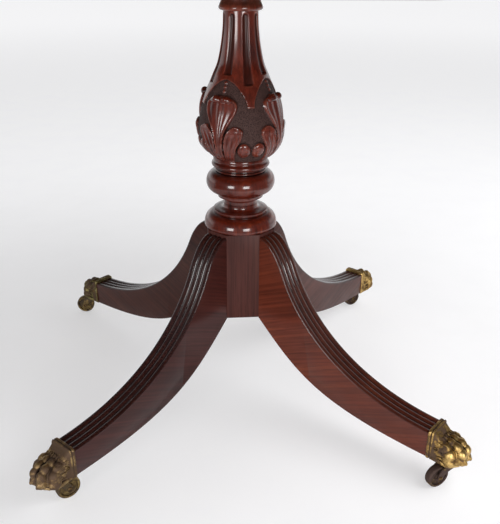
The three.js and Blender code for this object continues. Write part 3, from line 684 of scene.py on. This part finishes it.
legShape = {
    "width": 40,
    "reeds": 4,
    "reedRadius": 5.7,
    "stations": 64,
    "topCurves": [((57.8, 306.5), (74, 306.5), (93, 283), (102.5, 260)),
                  ((102.5, 260), (149, 153), (255, 90), (385.6, 83.8))],
    "underCurves": [((57.8, 159.4), (138, 86), (184, 45), (385.6, 39.5))],
    "tilt": 24,
}


def evenPoints(curves, count):  # points at equal steps of length along joined curves
    fine = []
    for points in curves:
        fine += curve(*points, 200)
    lengths = [0.0]
    for a, b in zip(fine, fine[1:]):
        lengths.append(lengths[-1] + dist(a, b))
    points, place = [], 0
    for i in range(count + 1):
        goal = lengths[-1] * i / count
        while place < len(fine) - 2 and lengths[place + 1] < goal:
            place += 1
        span = lengths[place + 1] - lengths[place]
        share = (goal - lengths[place]) / span if span > 0 else 0
        points.append([p + (q - p) * share for p, q in zip(fine[place], fine[place + 1])])
    return points


def reedLine():  # the reeded face across the leg, as (across, drop)
    pitch = legShape["width"] / legShape["reeds"]
    half, radius = legShape["width"] / 2, legShape["reedRadius"]
    line = []
    for reed in range(legShape["reeds"]):
        centre = -half + pitch * (reed + 0.5)
        for i in range(14):
            t = -1 + 2 * i / 14
            outside = (reed == 0 and t < 0) or (reed == legShape["reeds"] - 1 and t > 0)
            drop = 0.5 * abs(t) ** 2 + 1.0 * abs(t) ** 8
            if not outside:
                drop = radius - sqrt(radius ** 2 - (t * pitch / 2) ** 2)
            line.append((centre + t * pitch / 2, drop))
    line.append((half, 1.5))
    return line


def reededLeg(name):
    last = legShape["stations"]
    tops, unders = evenPoints(legShape["topCurves"], last), evenPoints(legShape["underCurves"], last)
    half = legShape["width"] / 2
    rings = []
    for station, (top, under) in enumerate(zip(tops, unders)):
        way = Vector((1, 0)) if station in (0, last) else wayAlong(tops, station)
        out = Vector((-way.y, way.x))
        ring = [(top[0] - out.x * drop, across, top[1] - out.y * drop) for across, drop in reedLine()]
        down = Vector((top[0] - under[0], top[1] - under[1])).normalized()
        side = [(top[0] - out.x * 3.4, half + 0.05, top[1] - out.y * 3.4),
                (under[0] + down.x * 1.2, half, under[1] + down.y * 1.2), (under[0], half - 1.2, under[1])]
        ring += side + [(x, -y, z) for x, y, z in side[::-1]]
        rings.append([(x * mm, y * mm, z * mm) for x, y, z in ring])
    leg = lofted(name, rings)
    # the reeded top face, marked for its painted shade
    mark = leg.data.attributes.new("reed", "FLOAT", "POINT")
    for vertex in leg.data.vertices:
        x, y, z = vertex.co / mm
        deep = min(dist((x, z), top) for top in tops)
        mark.data[vertex.index].value = 1 - blend(deep, 3, 3.6)
    return smoothed(leg, 50)


pawShape = {  # distances out are measured from the end of the leg
    "legEnd": 382.6,
    "cuff": [  # distance out, half width, underside, back, squareness
        (0.3, 21.6, 37.8, 88, 9), (0.9, 22.1, 37.3, 88.6, 9), (4.2, 22.2, 37.2, 88.8, 9),
        (4.8, 21.3, 37.9, 87.7, 9), (5.7, 21.2, 38, 87.4, 9), (6.3, 22.2, 37.4, 88.6, 8),
        (7.4, 22.8, 37.2, 89.2, 8), (8.7, 22.2, 37.4, 88.2, 8), (9.3, 20.9, 38, 86.4, 7),
        (12, 20.5, 38.2, 84.2, 6.5), (17, 20, 38.2, 79.8, 6), (22, 19.4, 38.2, 75.2, 5.5),
        (25, 17.4, 38.6, 71.2, 5)],
    "core": [
        (10, 19.4, 38.4, 83, 6), (22, 19.2, 38.2, 75.4, 5), (34, 18.4, 38.6, 71, 4),
        (44, 15.4, 40.2, 66, 3.4), (50, 12, 42.4, 60, 3), (55, 7, 44, 54, 2.6)],
    "toe": [  # two knuckles, a full tip, a pad and a hooked claw: forward, height, size, lean
        (-13.5, 72.5, (9.5, 5.8, 5.6), 30), (-5, 69, (9, 6.9, 8), 26),
        (2.4, 60, (8.8, 7.5, 10.5), 8), (3.4, 50.5, (9.2, 7.3, 8.8), 0),
        (10.6, 50, (3.2, 2.4, 4.6), -30)],
    "locks": {"count": 8, "first": -16.1, "pitch": 4.6, "upper": (6.4, 1.9, 2.6), "lower": (6, 1.7, 2.4),
              "side": (5.6, 1.9, 2.4)},
    "toes": [(-17.2, 32, 1.14, -14), (-6.9, 46, 1, -4), (6.9, 46, 1, 4), (17.2, 32, 1.14, 14)],
    "sole": [(6.5, 20.2), (18, 21.2), (30, 22.8), (38, 21.4), (44, 15), (49, 8), (50, 0)],
    "screw": (396.6, 20.6, 61),  # from the table's middle
    "voxel": 0.72,
}


def squareRing(out, half, under, back, power, sides=40):
    middle, tall = (under + back) / 2, (back - under) / 2
    ring = []
    for side in range(sides):
        swing = 2 * pi * (side + 0.5) / sides
        c, s = cos(swing), sin(swing)
        ring.append(((pawShape["legEnd"] + out) * mm, half * mm * copysign(abs(c) ** (2 / power), c),
                     (middle + tall * copysign(abs(s) ** (2 / power), s)) * mm))
    return ring


def lump(at, size, turn=(0, 0, 0)):
    clearSelection()
    bpy.ops.mesh.primitive_ico_sphere_add(
        subdivisions=3, location=((pawShape["legEnd"] + at[0]) * mm, at[1] * mm, at[2] * mm),
        scale=[v * mm for v in size], rotation=[radians(v) for v in turn])
    return settle(newPiece("lump"))


def toeLumps(across, out, size, splay):
    side = radians(splay)
    lumps = []
    for forward, up, shape, lean in pawShape["toe"]:
        x = out + forward * cos(side)
        y = across + forward * sin(side)
        lumps.append(lump((x, y, up - 14 * (size - 1)), [v * size for v in shape], (0, lean, splay)))
    return lumps


def hairLumps():  # locks that fall from the cuff to the toes
    locks, lumps = pawShape["locks"], []
    for i in range(locks["count"]):
        across = locks["first"] + locks["pitch"] * i
        back = 79.6 - 0.014 * across ** 2
        lumps.append(lump((22.5, across, back - 3.6), locks["upper"], (6 * (i % 2), 40, across * 0.6)))
        at, turn = (28.5, across * 0.94 + 1.6, back - 7.6), (0, 32, across * 0.8)
        lumps.append(lump(at, locks["lower"], turn))
    for side in (-1, 1):
        for i in range(4):
            at, turn = (17 + 1.5 * i, side * 19.6, 72 - 8.0 * i), (0, 34 - 10 * i, side * 4)
            lumps.append(lump(at, locks["side"], turn))
    return lumps


def soleSlab():  # the flat rim the paw stands on
    outline = pawShape["sole"] + [(x, -y) for x, y in pawShape["sole"][-2::-1]]
    rings = []
    for shrink, up in ((1.6, 38.05), (0.5, 38.7), (0, 40), (0.2, 42), (1, 43.6), (2.4, 44.6)):
        rings.append([((pawShape["legEnd"] + x - (shrink if x > 10 else 0)) * mm,
                       y * (1 - shrink / 24) * mm, up * mm) for x, y in outline])
    return lofted("sole", rings)


def lionPaw(name):
    parts = [lofted("core", [squareRing(*section) for section in pawShape["core"]])]
    for toe in pawShape["toes"]:
        parts += toeLumps(*toe)
    parts += hairLumps()
    paw = joined(name, parts)
    modified(paw, "REMESH", mode="VOXEL", voxel_size=pawShape["voxel"] * mm)
    modified(paw, "SMOOTH", factor=0.5, iterations=4)
    for vertex in paw.data.vertices:
        x, y, z = vertex.co / mm
        x -= pawShape["legEnd"]
        hairy = blend(x, 12, 17) * (1 - blend(x, 27, 36)) * blend(z, 42, 50)
        strand = noise.noise(Vector((x * 0.12, y * 0.75 + z * 0.12, z * 0.5)))
        worn = noise.noise(Vector((x, y, z)) * 0.19 + Vector((3, 7, 1)))
        vertex.co += vertex.normal * mm * (0.8 * strand * hairy + 0.35 * worn)
        if vertex.co.z < 38.1 * mm:
            vertex.co.z = 38.1 * mm
    smoothed(paw, 180)
    cuff = smoothed(lofted("cuff", [squareRing(*section, sides=72) for section in pawShape["cuff"]]), 70)
    paw = joined(name, [paw, cuff, smoothed(soleSlab(), 40)])
    return rubbed(paw, 12, 0.6)


castorShape = {"stemOut": 414.6, "trail": 24, "wheel": 18, "arm": (6.6, 9.4), "crownTop": 37.4}


def sideOutline(line, y0, y1, name):
    rings = [[(x * mm, y * mm, z * mm) for x, z in line] for y in (y0, y1)]
    return lofted(name, rings)


def castorHorn(name):
    top, trail, wheel = castorShape["crownTop"], castorShape["trail"], castorShape["wheel"]
    arm = curve((8, top), (16, top - 0.2), (25, top - 2), (trail + 5.2, wheel), 12)[:-1]
    arm += arcLine((trail, wheel), (5.2, 5.2), 0, -180, 12)
    arm += curve((trail - 5.2, wheel), (trail - 9, 27), (2, 30.5), (-7, 31.5), 12, first=1)
    arm += [(-7, top)]
    parts = []
    for side in (-1, 1):
        edges = sorted(side * edge for edge in castorShape["arm"])
        parts.append(eased(sideOutline(arm, *edges, "arm"), 0.0006, 2, 50))
    crown = [(0, 29.6), (7.6, 29.6), (8.6, 30.6), (8.6, 34.2), (9.4, 35), (9.4, 36.6), (8.8, top),
             (4.5, top), (4.5, 61), (3.8, 62), (0, 62)]
    parts.append(spun("crown", crown, 40))
    return smoothed(joined(name, parts), 40)


def castorWheel(name):
    half, rim = 6, castorShape["wheel"]
    face = [(2.7, half), (5.2, half), (5.9, half - 0.5), (6.6, half - 2.8), (8, half - 3.3),
            (12.4, half - 3.2), (13.4, half - 2.4), (14, half - 0.3), (14.8, half), (16.2, half - 0.1),
            (17.4, half - 0.9), (rim, half - 2.4)]
    outline = face + [(r, -y) for r, y in reversed(face)]
    wheel = spun(name, outline, 56, closed=True)
    return smoothed(placed(wheel, turn=(90, 0, 0)), 35)


def castorAxle(name):
    end = [(2.4, 9.7), (3.8, 9.7), (3.4, 10.5), (2.4, 11), (0, 11.1)]
    outline = [(r, -y) for r, y in end[::-1]] + end
    return smoothed(placed(spun(name, outline, 28), turn=(90, 0, 0)), 35)


screwSizes = {  # radius of the shank and the head, and how high the head is
    "cheek": (1.7, 3.5, 1.3), "under": (2, 4.4, 2), "deep": (2, 4.6, 2.4)}


def slottedScrew(name, kind, length):  # head at the bottom, facing down
    shank, head, rise = screwSizes[kind]
    outline = [(0, length), (shank * 0.4, length), (shank, length - 2), (shank, 0), (head, 0),
               (head * 0.96, -rise * 0.35), (head * 0.75, -rise * 0.8), (head * 0.35, -rise), (0, -rise)]
    screw = spun(name, outline, 32)
    return smoothed(cutBy(screw, block((0, 0, -rise), (3 * head, 0.9, rise * 0.9))), 35)


hubShape = {"half": 55, "bare": 26.716, "low": 161, "high": 311}


def legHub(name):
    half, low, tall = hubShape["half"], hubShape["low"], hubShape["high"] - hubShape["low"]
    block((0, 0, low + tall / 2), (2 * half, 2 * half, tall))
    piece = newPiece(name)
    mode("EDIT")
    bpy.ops.mesh.select_mode(type="EDGE")
    bpy.ops.mesh.select_all(action="DESELECT")
    shape = bmesh.from_edit_mesh(piece.data)
    for edge in shape.edges:
        if abs(edge.verts[0].co.z - edge.verts[1].co.z) > tall * mm / 2:
            edge.select_set(True)
    bmesh.update_edit_mesh(piece.data)
    bpy.ops.mesh.bevel(offset=(half - hubShape["bare"]) * mm, segments=1, affect="EDGES")
    bpy.ops.mesh.select_mode(type="VERT")
    mode("OBJECT")
    return smoothed(eased(piece, 0.0009, 3, 30), 30)


topShape = {"radius": 600, "low": 725, "high": 750}


def roundTop(name):
    low, high, edge = topShape["low"], topShape["high"], topShape["radius"]
    outline = [(0, low), (300, low), (edge - 11.5, low), (edge - 8.4, low + 0.6)]
    outline += arcLine((edge - 7, low + 7.3), (6, 5.9), -86, 82, 14) + [(edge - 6.8, low + 13.3)]
    outline += arcLine((edge - 6, low + 18.5), (6, 5.2), -84, 84, 14)
    outline += [(edge - 6.6, low + 23.9), (edge - 7.6, low + 24.2), (edge - 8.3, high), (300, high),
                (0, high)]
    return smoothed(spun(name, outline, 240), 35)


bearerShape = {"half": 480, "flat": 250, "width": 38, "deep": 53.7, "end": 20, "top": 724.7,
               "middle": 110, "screws": ((-415, 708.1), (-180, 700.1), (180, 700.1), (415, 708.1)),
               "bore": 5.4, "boreDeep": 60, "steps": 16}


def bearer(name, side):
    top, low = bearerShape["top"], bearerShape["top"] - bearerShape["deep"]
    half, flat, steps = bearerShape["half"], bearerShape["flat"], bearerShape["steps"]
    across, up = (flat, flat + 110, half), (low, low + 2, top - bearerShape["end"])
    rise = []
    for t in [i / steps for i in range(steps + 1)]:
        rise.append([(1 - t) ** 2 * a + 2 * t * (1 - t) * b + t * t * c for a, b, c in (across, up)])
    line = [(half, top)] + rise[::-1] + [(-x, z) for x, z in rise] + [(-half, top)]
    y = side * bearerShape["middle"]
    piece = sideOutline(line, y - bearerShape["width"] / 2, y + bearerShape["width"] / 2, name)
    for x, deep in bearerShape["screws"]:
        at = (x, y, deep - bearerShape["boreDeep"] / 2)
        cutBy(piece, rod(at, bearerShape["bore"], bearerShape["boreDeep"], sides=28))
    return smoothed(eased(piece, 0.0014, 2, 40), 35)


blockShape = {"left": 110, "pivot": (98, 698.85), "low": 673, "top": 724.7, "half": 90,
              "bore": 20.3, "pinBore": 6.4, "boltLevel": 712, "socket": (14.2, 10, 10)}


def tiltBlock(name):
    left, low, top = -blockShape["left"], blockShape["low"], blockShape["top"]
    nose = (top - low) / 2
    line = [(left, top), (left, low + 8), (left + 8, low)]
    line += arcLine(blockShape["pivot"], (nose, nose), -90, 90, 26)
    piece = sideOutline(line, -blockShape["half"], blockShape["half"], name)
    x, z = blockShape["pivot"]
    cutBy(piece, rod((0, 0, 698), blockShape["bore"], 80))
    cutBy(piece, rod((x, 0, z), blockShape["pinBore"], 220, (90, 0, 0)))
    cutBy(piece, block((left + 7, 0, blockShape["boltLevel"]), blockShape["socket"]))
    return smoothed(eased(piece, 0.0012, 2, 40), 35)


def pivotPin(name, side):
    outline = [(0, 51), (5, 51), (6, 52), (6, 129.3), (9, 129.3), (9, 130.4), (8.2, 131.6), (6, 132.2),
               (0, 132.3)]
    x, z = blockShape["pivot"]
    return smoothed(placed(spun(name, outline, 40), (x * mm, 0, z * mm), (-90 * side, 0, 0)), 35)


def slidingBolt(name):
    outline = [(0, -179), (2.4, -178.8), (4.4, -177.4), (5.6, -175.4), (5.9, -173.4), (5.4, -171.8),
               (4.2, -171), (2.7, -170.2), (2.6, -168.6), (3.4, -168.4), (3.5, -168), (3.5, -118.5),
               (2.3, -117), (0, -117)]
    at = (0, 0, blockShape["boltLevel"] * mm)
    return smoothed(placed(spun(name, outline, 36), at, (0, 90, 0)), 35)


turnedWood = mahogany("polishedTurning", tilt=90, shift=(0.3, 0.1, 0.7), coatRough=0.12)
# a shaded copy of the turned wood on lighter tones, with painted shadow from the tilting block and top
# above
collarWood = mahogany(
    "shadedCollar", tilt=90, shift=(0.9, 0.6, 0.2), shadeReach=0.026,
    tones=((0.028, 0.003, 0.0014), (0.15, 0.028, 0.014), (0.28, 0.06, 0.026)))
carvedWood = mahogany(
    "polishedCarving", tilt=90, shift=(1.3, 0.4, 0.2), ground=True,
    tones=((0.028, 0.003, 0.0014), (0.112, 0.015, 0.007), (0.24, 0.045, 0.015)),
    hollowReach=0.006, wear=0.26, reedDark=0.72, rubbed=(0.26, 0.085, 0.055), coatRough=0.16)
hubWood = mahogany(
    "hubMahogany", tilt=90, shift=(2.1, 0.3, 0.5), rough=(0.5, 0.65), coat=0.15, coatRough=0.3, sheer=0.1,
    tones=((0.045, 0.013, 0.01), (0.063, 0.018, 0.014), (0.082, 0.026, 0.019)))
raw = rawWood("dryMahogany")
steel = plainMetal("screwSteel", (0.3, 0.27, 0.22), (0.07, 0.055, 0.04), (0.35, 0.6), 1)
browned = plainMetal("brownedSteel", (0.2, 0.125, 0.055), (0.045, 0.026, 0.012), (0.42, 0.65), 0.9)
iron = plainMetal("forgedIron", (0.05, 0.045, 0.042), (0.022, 0.018, 0.016), (0.55, 0.8), 0.7)
fitting = brass("brassFitting", patina=0.25)

dressed(carvedColumn(), carvedWood, "base", "mahogany", "column")
for number in range(4):
    scroll = leafScroll("leaf_scroll_%d" % (number + 1), columnShape["leafStart"] + 90 * number)
    dressed(scroll, turnedWood, "base", "mahogany", "column")
for piece, finish in zip(turnedColumn(), (collarWood, turnedWood)):
    dressed(piece, finish, "base", "mahogany", "column")
dressed(turnedCap(), turnedWood, "base", "mahogany", "pedestal_cap")
print("column made")

dressed(legHub("leg_hub"), hubWood, "base", "mahogany", "hub")
firstLeg = reededLeg("reeded_leg")
firstPaw = lionPaw("lion_paw")
firstHorn, firstWheel, firstAxle = castorHorn("horn"), castorWheel("wheel"), castorAxle("axle")
sideScrew = slottedScrew("side_screw", "cheek", 15)
print("first leg, paw and castor made")

# how brown each paw's brass is, and how much brighter it gets towards the toes
pawBrassByCorner = {
    "front_left": {"patina": 0.56, "toe": 0.06, "bright": (0.5, 0.35, 0.16), "worn": (0.3, 0.2, 0.1)},
    "front_right": {"patina": 0.54, "toe": 0.26},
    "rear_right": {"patina": 0.34, "toe": 0.04},
    "rear_left": {"patina": 0.52, "toe": 0.06, "bright": (0.42, 0.34, 0.14), "worn": (0.2, 0.16, 0.07)},
}
castorWear = {"patina": 0.44, "brown": (0.075, 0.052, 0.03), "worn": (0.24, 0.165, 0.07),
              "bright": (0.44, 0.32, 0.13), "reach": 0.008}
legLitAndShadedTones = {  # each leg's tones, lighter or darker as painted light: the front right leg lightest, the two left legs darkest
    "front_left": ((0.03, 0.0075, 0.0062), (0.05, 0.0125, 0.01), (0.078, 0.02, 0.0145)),
    "front_right": ((0.07, 0.015, 0.008), (0.122, 0.025, 0.0122), (0.195, 0.043, 0.019)),
    "rear_right": ((0.055, 0.019, 0.016), (0.085, 0.03, 0.024), (0.125, 0.045, 0.035)),
    "rear_left": ((0.034, 0.009, 0.006), (0.055, 0.015, 0.0095), (0.085, 0.025, 0.0145)),
}


castorBrass = brass("dirtyBrass", **castorWear)
# a darker copy of the castor brass, as painted shade for the castors on the right under their paws
shadedCastorBrass = brass("castorBrassPaintedShade", **{**castorWear, "patina": 0.66, "brown": (0.07, 0.042, 0.033)})

for number, (corner, (leg, trail)) in enumerate(corners.items()):
    # each leg's wood carries its painted light, and painted shade on its reeded top
    legWood = mahogany("legMahoganyPaintedLight_" + corner, leg, legShape["tilt"], (number * 1.7, number * 0.9, 0.4),
                       tones=legLitAndShadedTones[corner], hollowReach=0.005, reedDark=0.6, reedCoat=0.95,
                       coat=0.36, coatRough=0.14, sheer=0.08)
    dressed(copied(firstLeg, "reeded_leg_" + corner, leg), legWood, "base", "mahogany", "leg_" + corner)
    castBrass = brass("castBrass_" + corner, **pawBrassByCorner[corner])
    dressed(copied(firstPaw, "lion_paw_" + corner, leg), castBrass, "base", "brass", "paw_" + corner)
    for hand, side in (("left", 1), ("right", -1)):
        screw = copied(sideScrew, "cheek_screw_%s_%s" % (hand, corner))
        out, across, up = [v * mm for v in pawShape["screw"]]
        placed(screw, at=(out, side * across, up), turn=(90 * side, 0, 0))
        placed(screw, turn=(0, 0, leg))
        dressed(screw, browned, "base", "steel", "paw_screw_%s_%s" % (hand, corner))
    stem = wayOut(leg) * castorShape["stemOut"] * mm
    hubPlace = stem + castorShape["trail"] * mm * wayOut(trail)
    hubPlace.z = castorShape["wheel"] * mm
    # the castors on the right take the darker brass: painted shade
    rollerBrass = castorBrass if corner.endswith("left") else shadedCastorBrass
    for first, name, at, finish, body, slot, node in (
            (firstHorn, "castor_fork_", stem, rollerBrass, "castor_", "brass", "castor_horn_"),
            (firstAxle, "castor_pin_", hubPlace, browned, "castor_", "steel", "castor_axle_"),
            (firstWheel, "castor_roller_", hubPlace, rollerBrass, "wheel_", "brass", "castor_wheel_")):
        piece = placed(copied(first, name + corner), at=at, turn=(0, 0, trail))
        dressed(piece, finish, body + corner, slot, node + corner)
for spare in (firstLeg, firstPaw, firstHorn, firstWheel, firstAxle, sideScrew):
    bpy.data.objects.remove(spare)
print("legs set out")

topWood = mahogany("topMahogany", shift=(0.2, 0.6, 0.9), figure=5.0, coat=0.7, coatRough=0.11)
bearerWood = mahogany(
    "bearerMahogany", shift=(4.2, 0.1, 0.3), rough=(0.45, 0.6), coat=0.15, coatRough=0.35)
dryWood = mahogany(
    "dryUnderside", shift=(0.2, 0.6, 0.9), figure=5.0, rough=(0.6, 0.75), coat=0.0,
    tones=((0.05, 0.018, 0.01), (0.105, 0.04, 0.02), (0.18, 0.075, 0.038)))
board = dressed(roundTop("round_top"), topWood, "top", "mahogany", "table_top")
board.data.materials.append(dryWood)
for face in board.data.polygons:  # the underside was never polished
    if face.normal.z < -0.9:
        face.material_index = 1
for word, side in (("front", -1), ("rear", 1)):
    dressed(bearer("long_bearer_" + word, side), bearerWood, "top", "mahogany", "bearer_" + word)
    dressed(pivotPin("tilt_pin_" + word, side), fitting, "top", "brass", "pivot_pin_" + word)
dressed(tiltBlock("tilt_block"), raw, "base", "secondary_wood", "top_block")
dressed(eased(copyOfCad("tenon_wedge", "wedge"), 0.0003, 1), raw, "base", "secondary_wood", "tenon_wedge")
for node, name, width, finish, body, slot in (
        ("brace_plate", "under_plate", 0.0005, iron, "base", "iron"),
        ("bolt_case", "bolt_housing", 0.0005, fitting, "top", "brass"),
        ("keeper_plate", "bolt_keeper", 0.0003, fitting, "base", "brass")):
    dressed(smoothed(eased(copyOfCad(node, name), width, 2, 50)), finish, body, slot, node)
dressed(slidingBolt("turned_bolt"), fitting, "bolt", "brass", "slide_bolt")
for count, node, kind, step, body in (
        (4, "plate_screw_%d", "under", 23, "base"), (8, "bearer_screw_%d", "deep", 41, "top")):
    rise = screwSizes[kind][2]
    for number in range(1, count + 1):
        low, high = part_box(node % number)
        screw = slottedScrew("%s_screw_%d" % (kind, number), kind, (high[2] - low[2]) / mm - rise)
        placed(screw, turn=(0, 0, step * number))
        placed(screw, at=((low[0] + high[0]) / 2, (low[1] + high[1]) / 2, low[2] + rise * mm))
        dressed(screw, steel, body, "steel", node % number)
print("top and tilting gear made")


room = {
    "world": 0.56, "backdrop": (0.95, 0.95, 0.965), "front": (0.1, 0.1, 0.105),
    "lampAim": 0.33,
    "lamps": [  # name, azimuth from the front, elevation, distance, size, power, seen in reflections
        ("windowLeft", -31, 4, 3, 1, 32, True), ("windowRight", 18.5, 4, 3, 1, 32, True),
        ("mainSoft", 78, 46, 3, 2.4, 74, False)],
    "cameraPlace": (-0.0837, -1.0947, 0.7344), "cameraTilt": 65.7472, "cameraHeading": -5.2334,
    "cameraRoll": 0.4344, "lens": 48.105, "frontWay": 265.63,
}

world = bpy.data.worlds.new("studio")
bpy.context.scene.world = world
world.use_nodes = True
sky = world.node_tree
path = put(sky, "LightPath")
mirrored = reckoned(sky, "MAXIMUM", path.outputs["Is Glossy Ray"], path.outputs["Is Transmission Ray"])
way = put(sky, "SeparateXYZ", {0: put(sky, "TexCoord").outputs["Generated"]})
low = ramped(sky, way.outputs["Z"], [(0.16, 1), (0.5, 0)])
behind = times(sky, between(sky, way.outputs["Y"], 0.06, 0.26), low)
shade = mixed(sky, behind, room["front"], room["backdrop"])
shade = mixed(sky, mirrored, (room["world"],) * 3, shade)
shade = mixed(sky, path.outputs["Is Camera Ray"], shade, room["backdrop"])
feed(sky, sky.nodes["Background"].inputs["Color"], shade)

floorLook = {"near": (0.8, 0.8, 0.815), "far": (0.76, 0.76, 0.775), "mirrored": 0.08, "seenDarker": 0.3,
             "glow": 0.37, "glowGains": (0.07, 0.16, 0.07)}

clearSelection()
bpy.ops.mesh.primitive_plane_add(size=80, location=(0, 0, -0.0004))
floor = settle(newPiece("studio_floor"))
floorFinish, tree = shaderTree("paleFloor")
place = placeIn(tree)
away = put(tree, "VectorMath", {0: place}, operation="LENGTH").outputs["Value"]
whiter = between(tree, reckoned(tree, "DIVIDE", away, 4), 0.09, 0.34)
farther = between(tree, reckoned(tree, "DIVIDE", away, 12), 0.2, 0.6)
# painted light on the floor under the table, thinning the table's shadow
under = ramped(tree, away, [(0.3, 1), (0.62, 0)])
tone = mixed(tree, whiter, floorLook["near"], floorLook["far"])
faint = ramped(tree, noiseOf(tree, place, 9, 4, 0.6), [(0.3, 0.93), (0.6, 1)])
tone = mixed(tree, 0.35, tone, faint, "MULTIPLY")
path = put(tree, "LightPath")
seen, mirrored = path.outputs["Is Camera Ray"], path.outputs["Is Glossy Ray"]
tone = mixed(tree, times(tree, seen, floorLook["seenDarker"]), tone, (0, 0, 0))
far = between(tree, reckoned(tree, "DIVIDE", away, 2), 0.32, 0.48)
ahead = times(tree, put(tree, "SeparateXYZ", {0: place}).outputs["Y"], -0.5)
far = times(tree, far, between(tree, reckoned(tree, "ADD", ahead, 0.5), 0.3, 0.46))
tone = mixed(tree, times(tree, mirrored, far), tone, (floorLook["mirrored"],) * 3)
# for the camera the floor takes less light and glows instead, brighter farther out; the glow under the
# table is painted light
glow = floorLook["glow"]
for part, gain in zip((whiter, farther, under), floorLook["glowGains"]):
    glow = reckoned(tree, "ADD", glow, times(tree, part, gain))
lead(tree, {"Base Color": tone, "Roughness": 0.75, "Specular IOR Level": 0.2,
            "Emission Color": (1, 1, 1.01, 1), "Emission Strength": times(tree, seen, glow)})
floor.data.materials.append(floorFinish)

for name, azimuth, elevation, distance, size, power, reflected in room["lamps"]:
    turn, rise = radians(room["frontWay"] + azimuth), radians(elevation)
    level = cos(rise)
    at = Vector((cos(turn) * level, sin(turn) * level, sin(rise))) * distance
    lamp = bpy.data.lights.new(name, "AREA")
    lamp.energy, lamp.size = power, size
    lampObject = shown(name, lamp)
    lampObject.location = at + Vector((0, 0, room["lampAim"]))
    lampObject.rotation_euler = (-at).to_track_quat("-Z", "Y").to_euler()
    lampObject.visible_glossy = reflected

lens = bpy.data.cameras.new("camera")
lens.lens, lens.sensor_width = room["lens"], 36.0
camera = shown("camera", lens)
camera.location = room["cameraPlace"]
heading, tilted, rolled = [Matrix.Rotation(radians(room[part]), 3, axis) for part, axis in (
    ("cameraHeading", "Z"), ("cameraTilt", "X"), ("cameraRoll", "Z"))]
camera.rotation_euler = (heading @ tilted @ rolled).to_euler()
bpy.context.scene.camera = camera
bpy.context.scene.view_settings.view_transform = "Standard"
print("scene set")
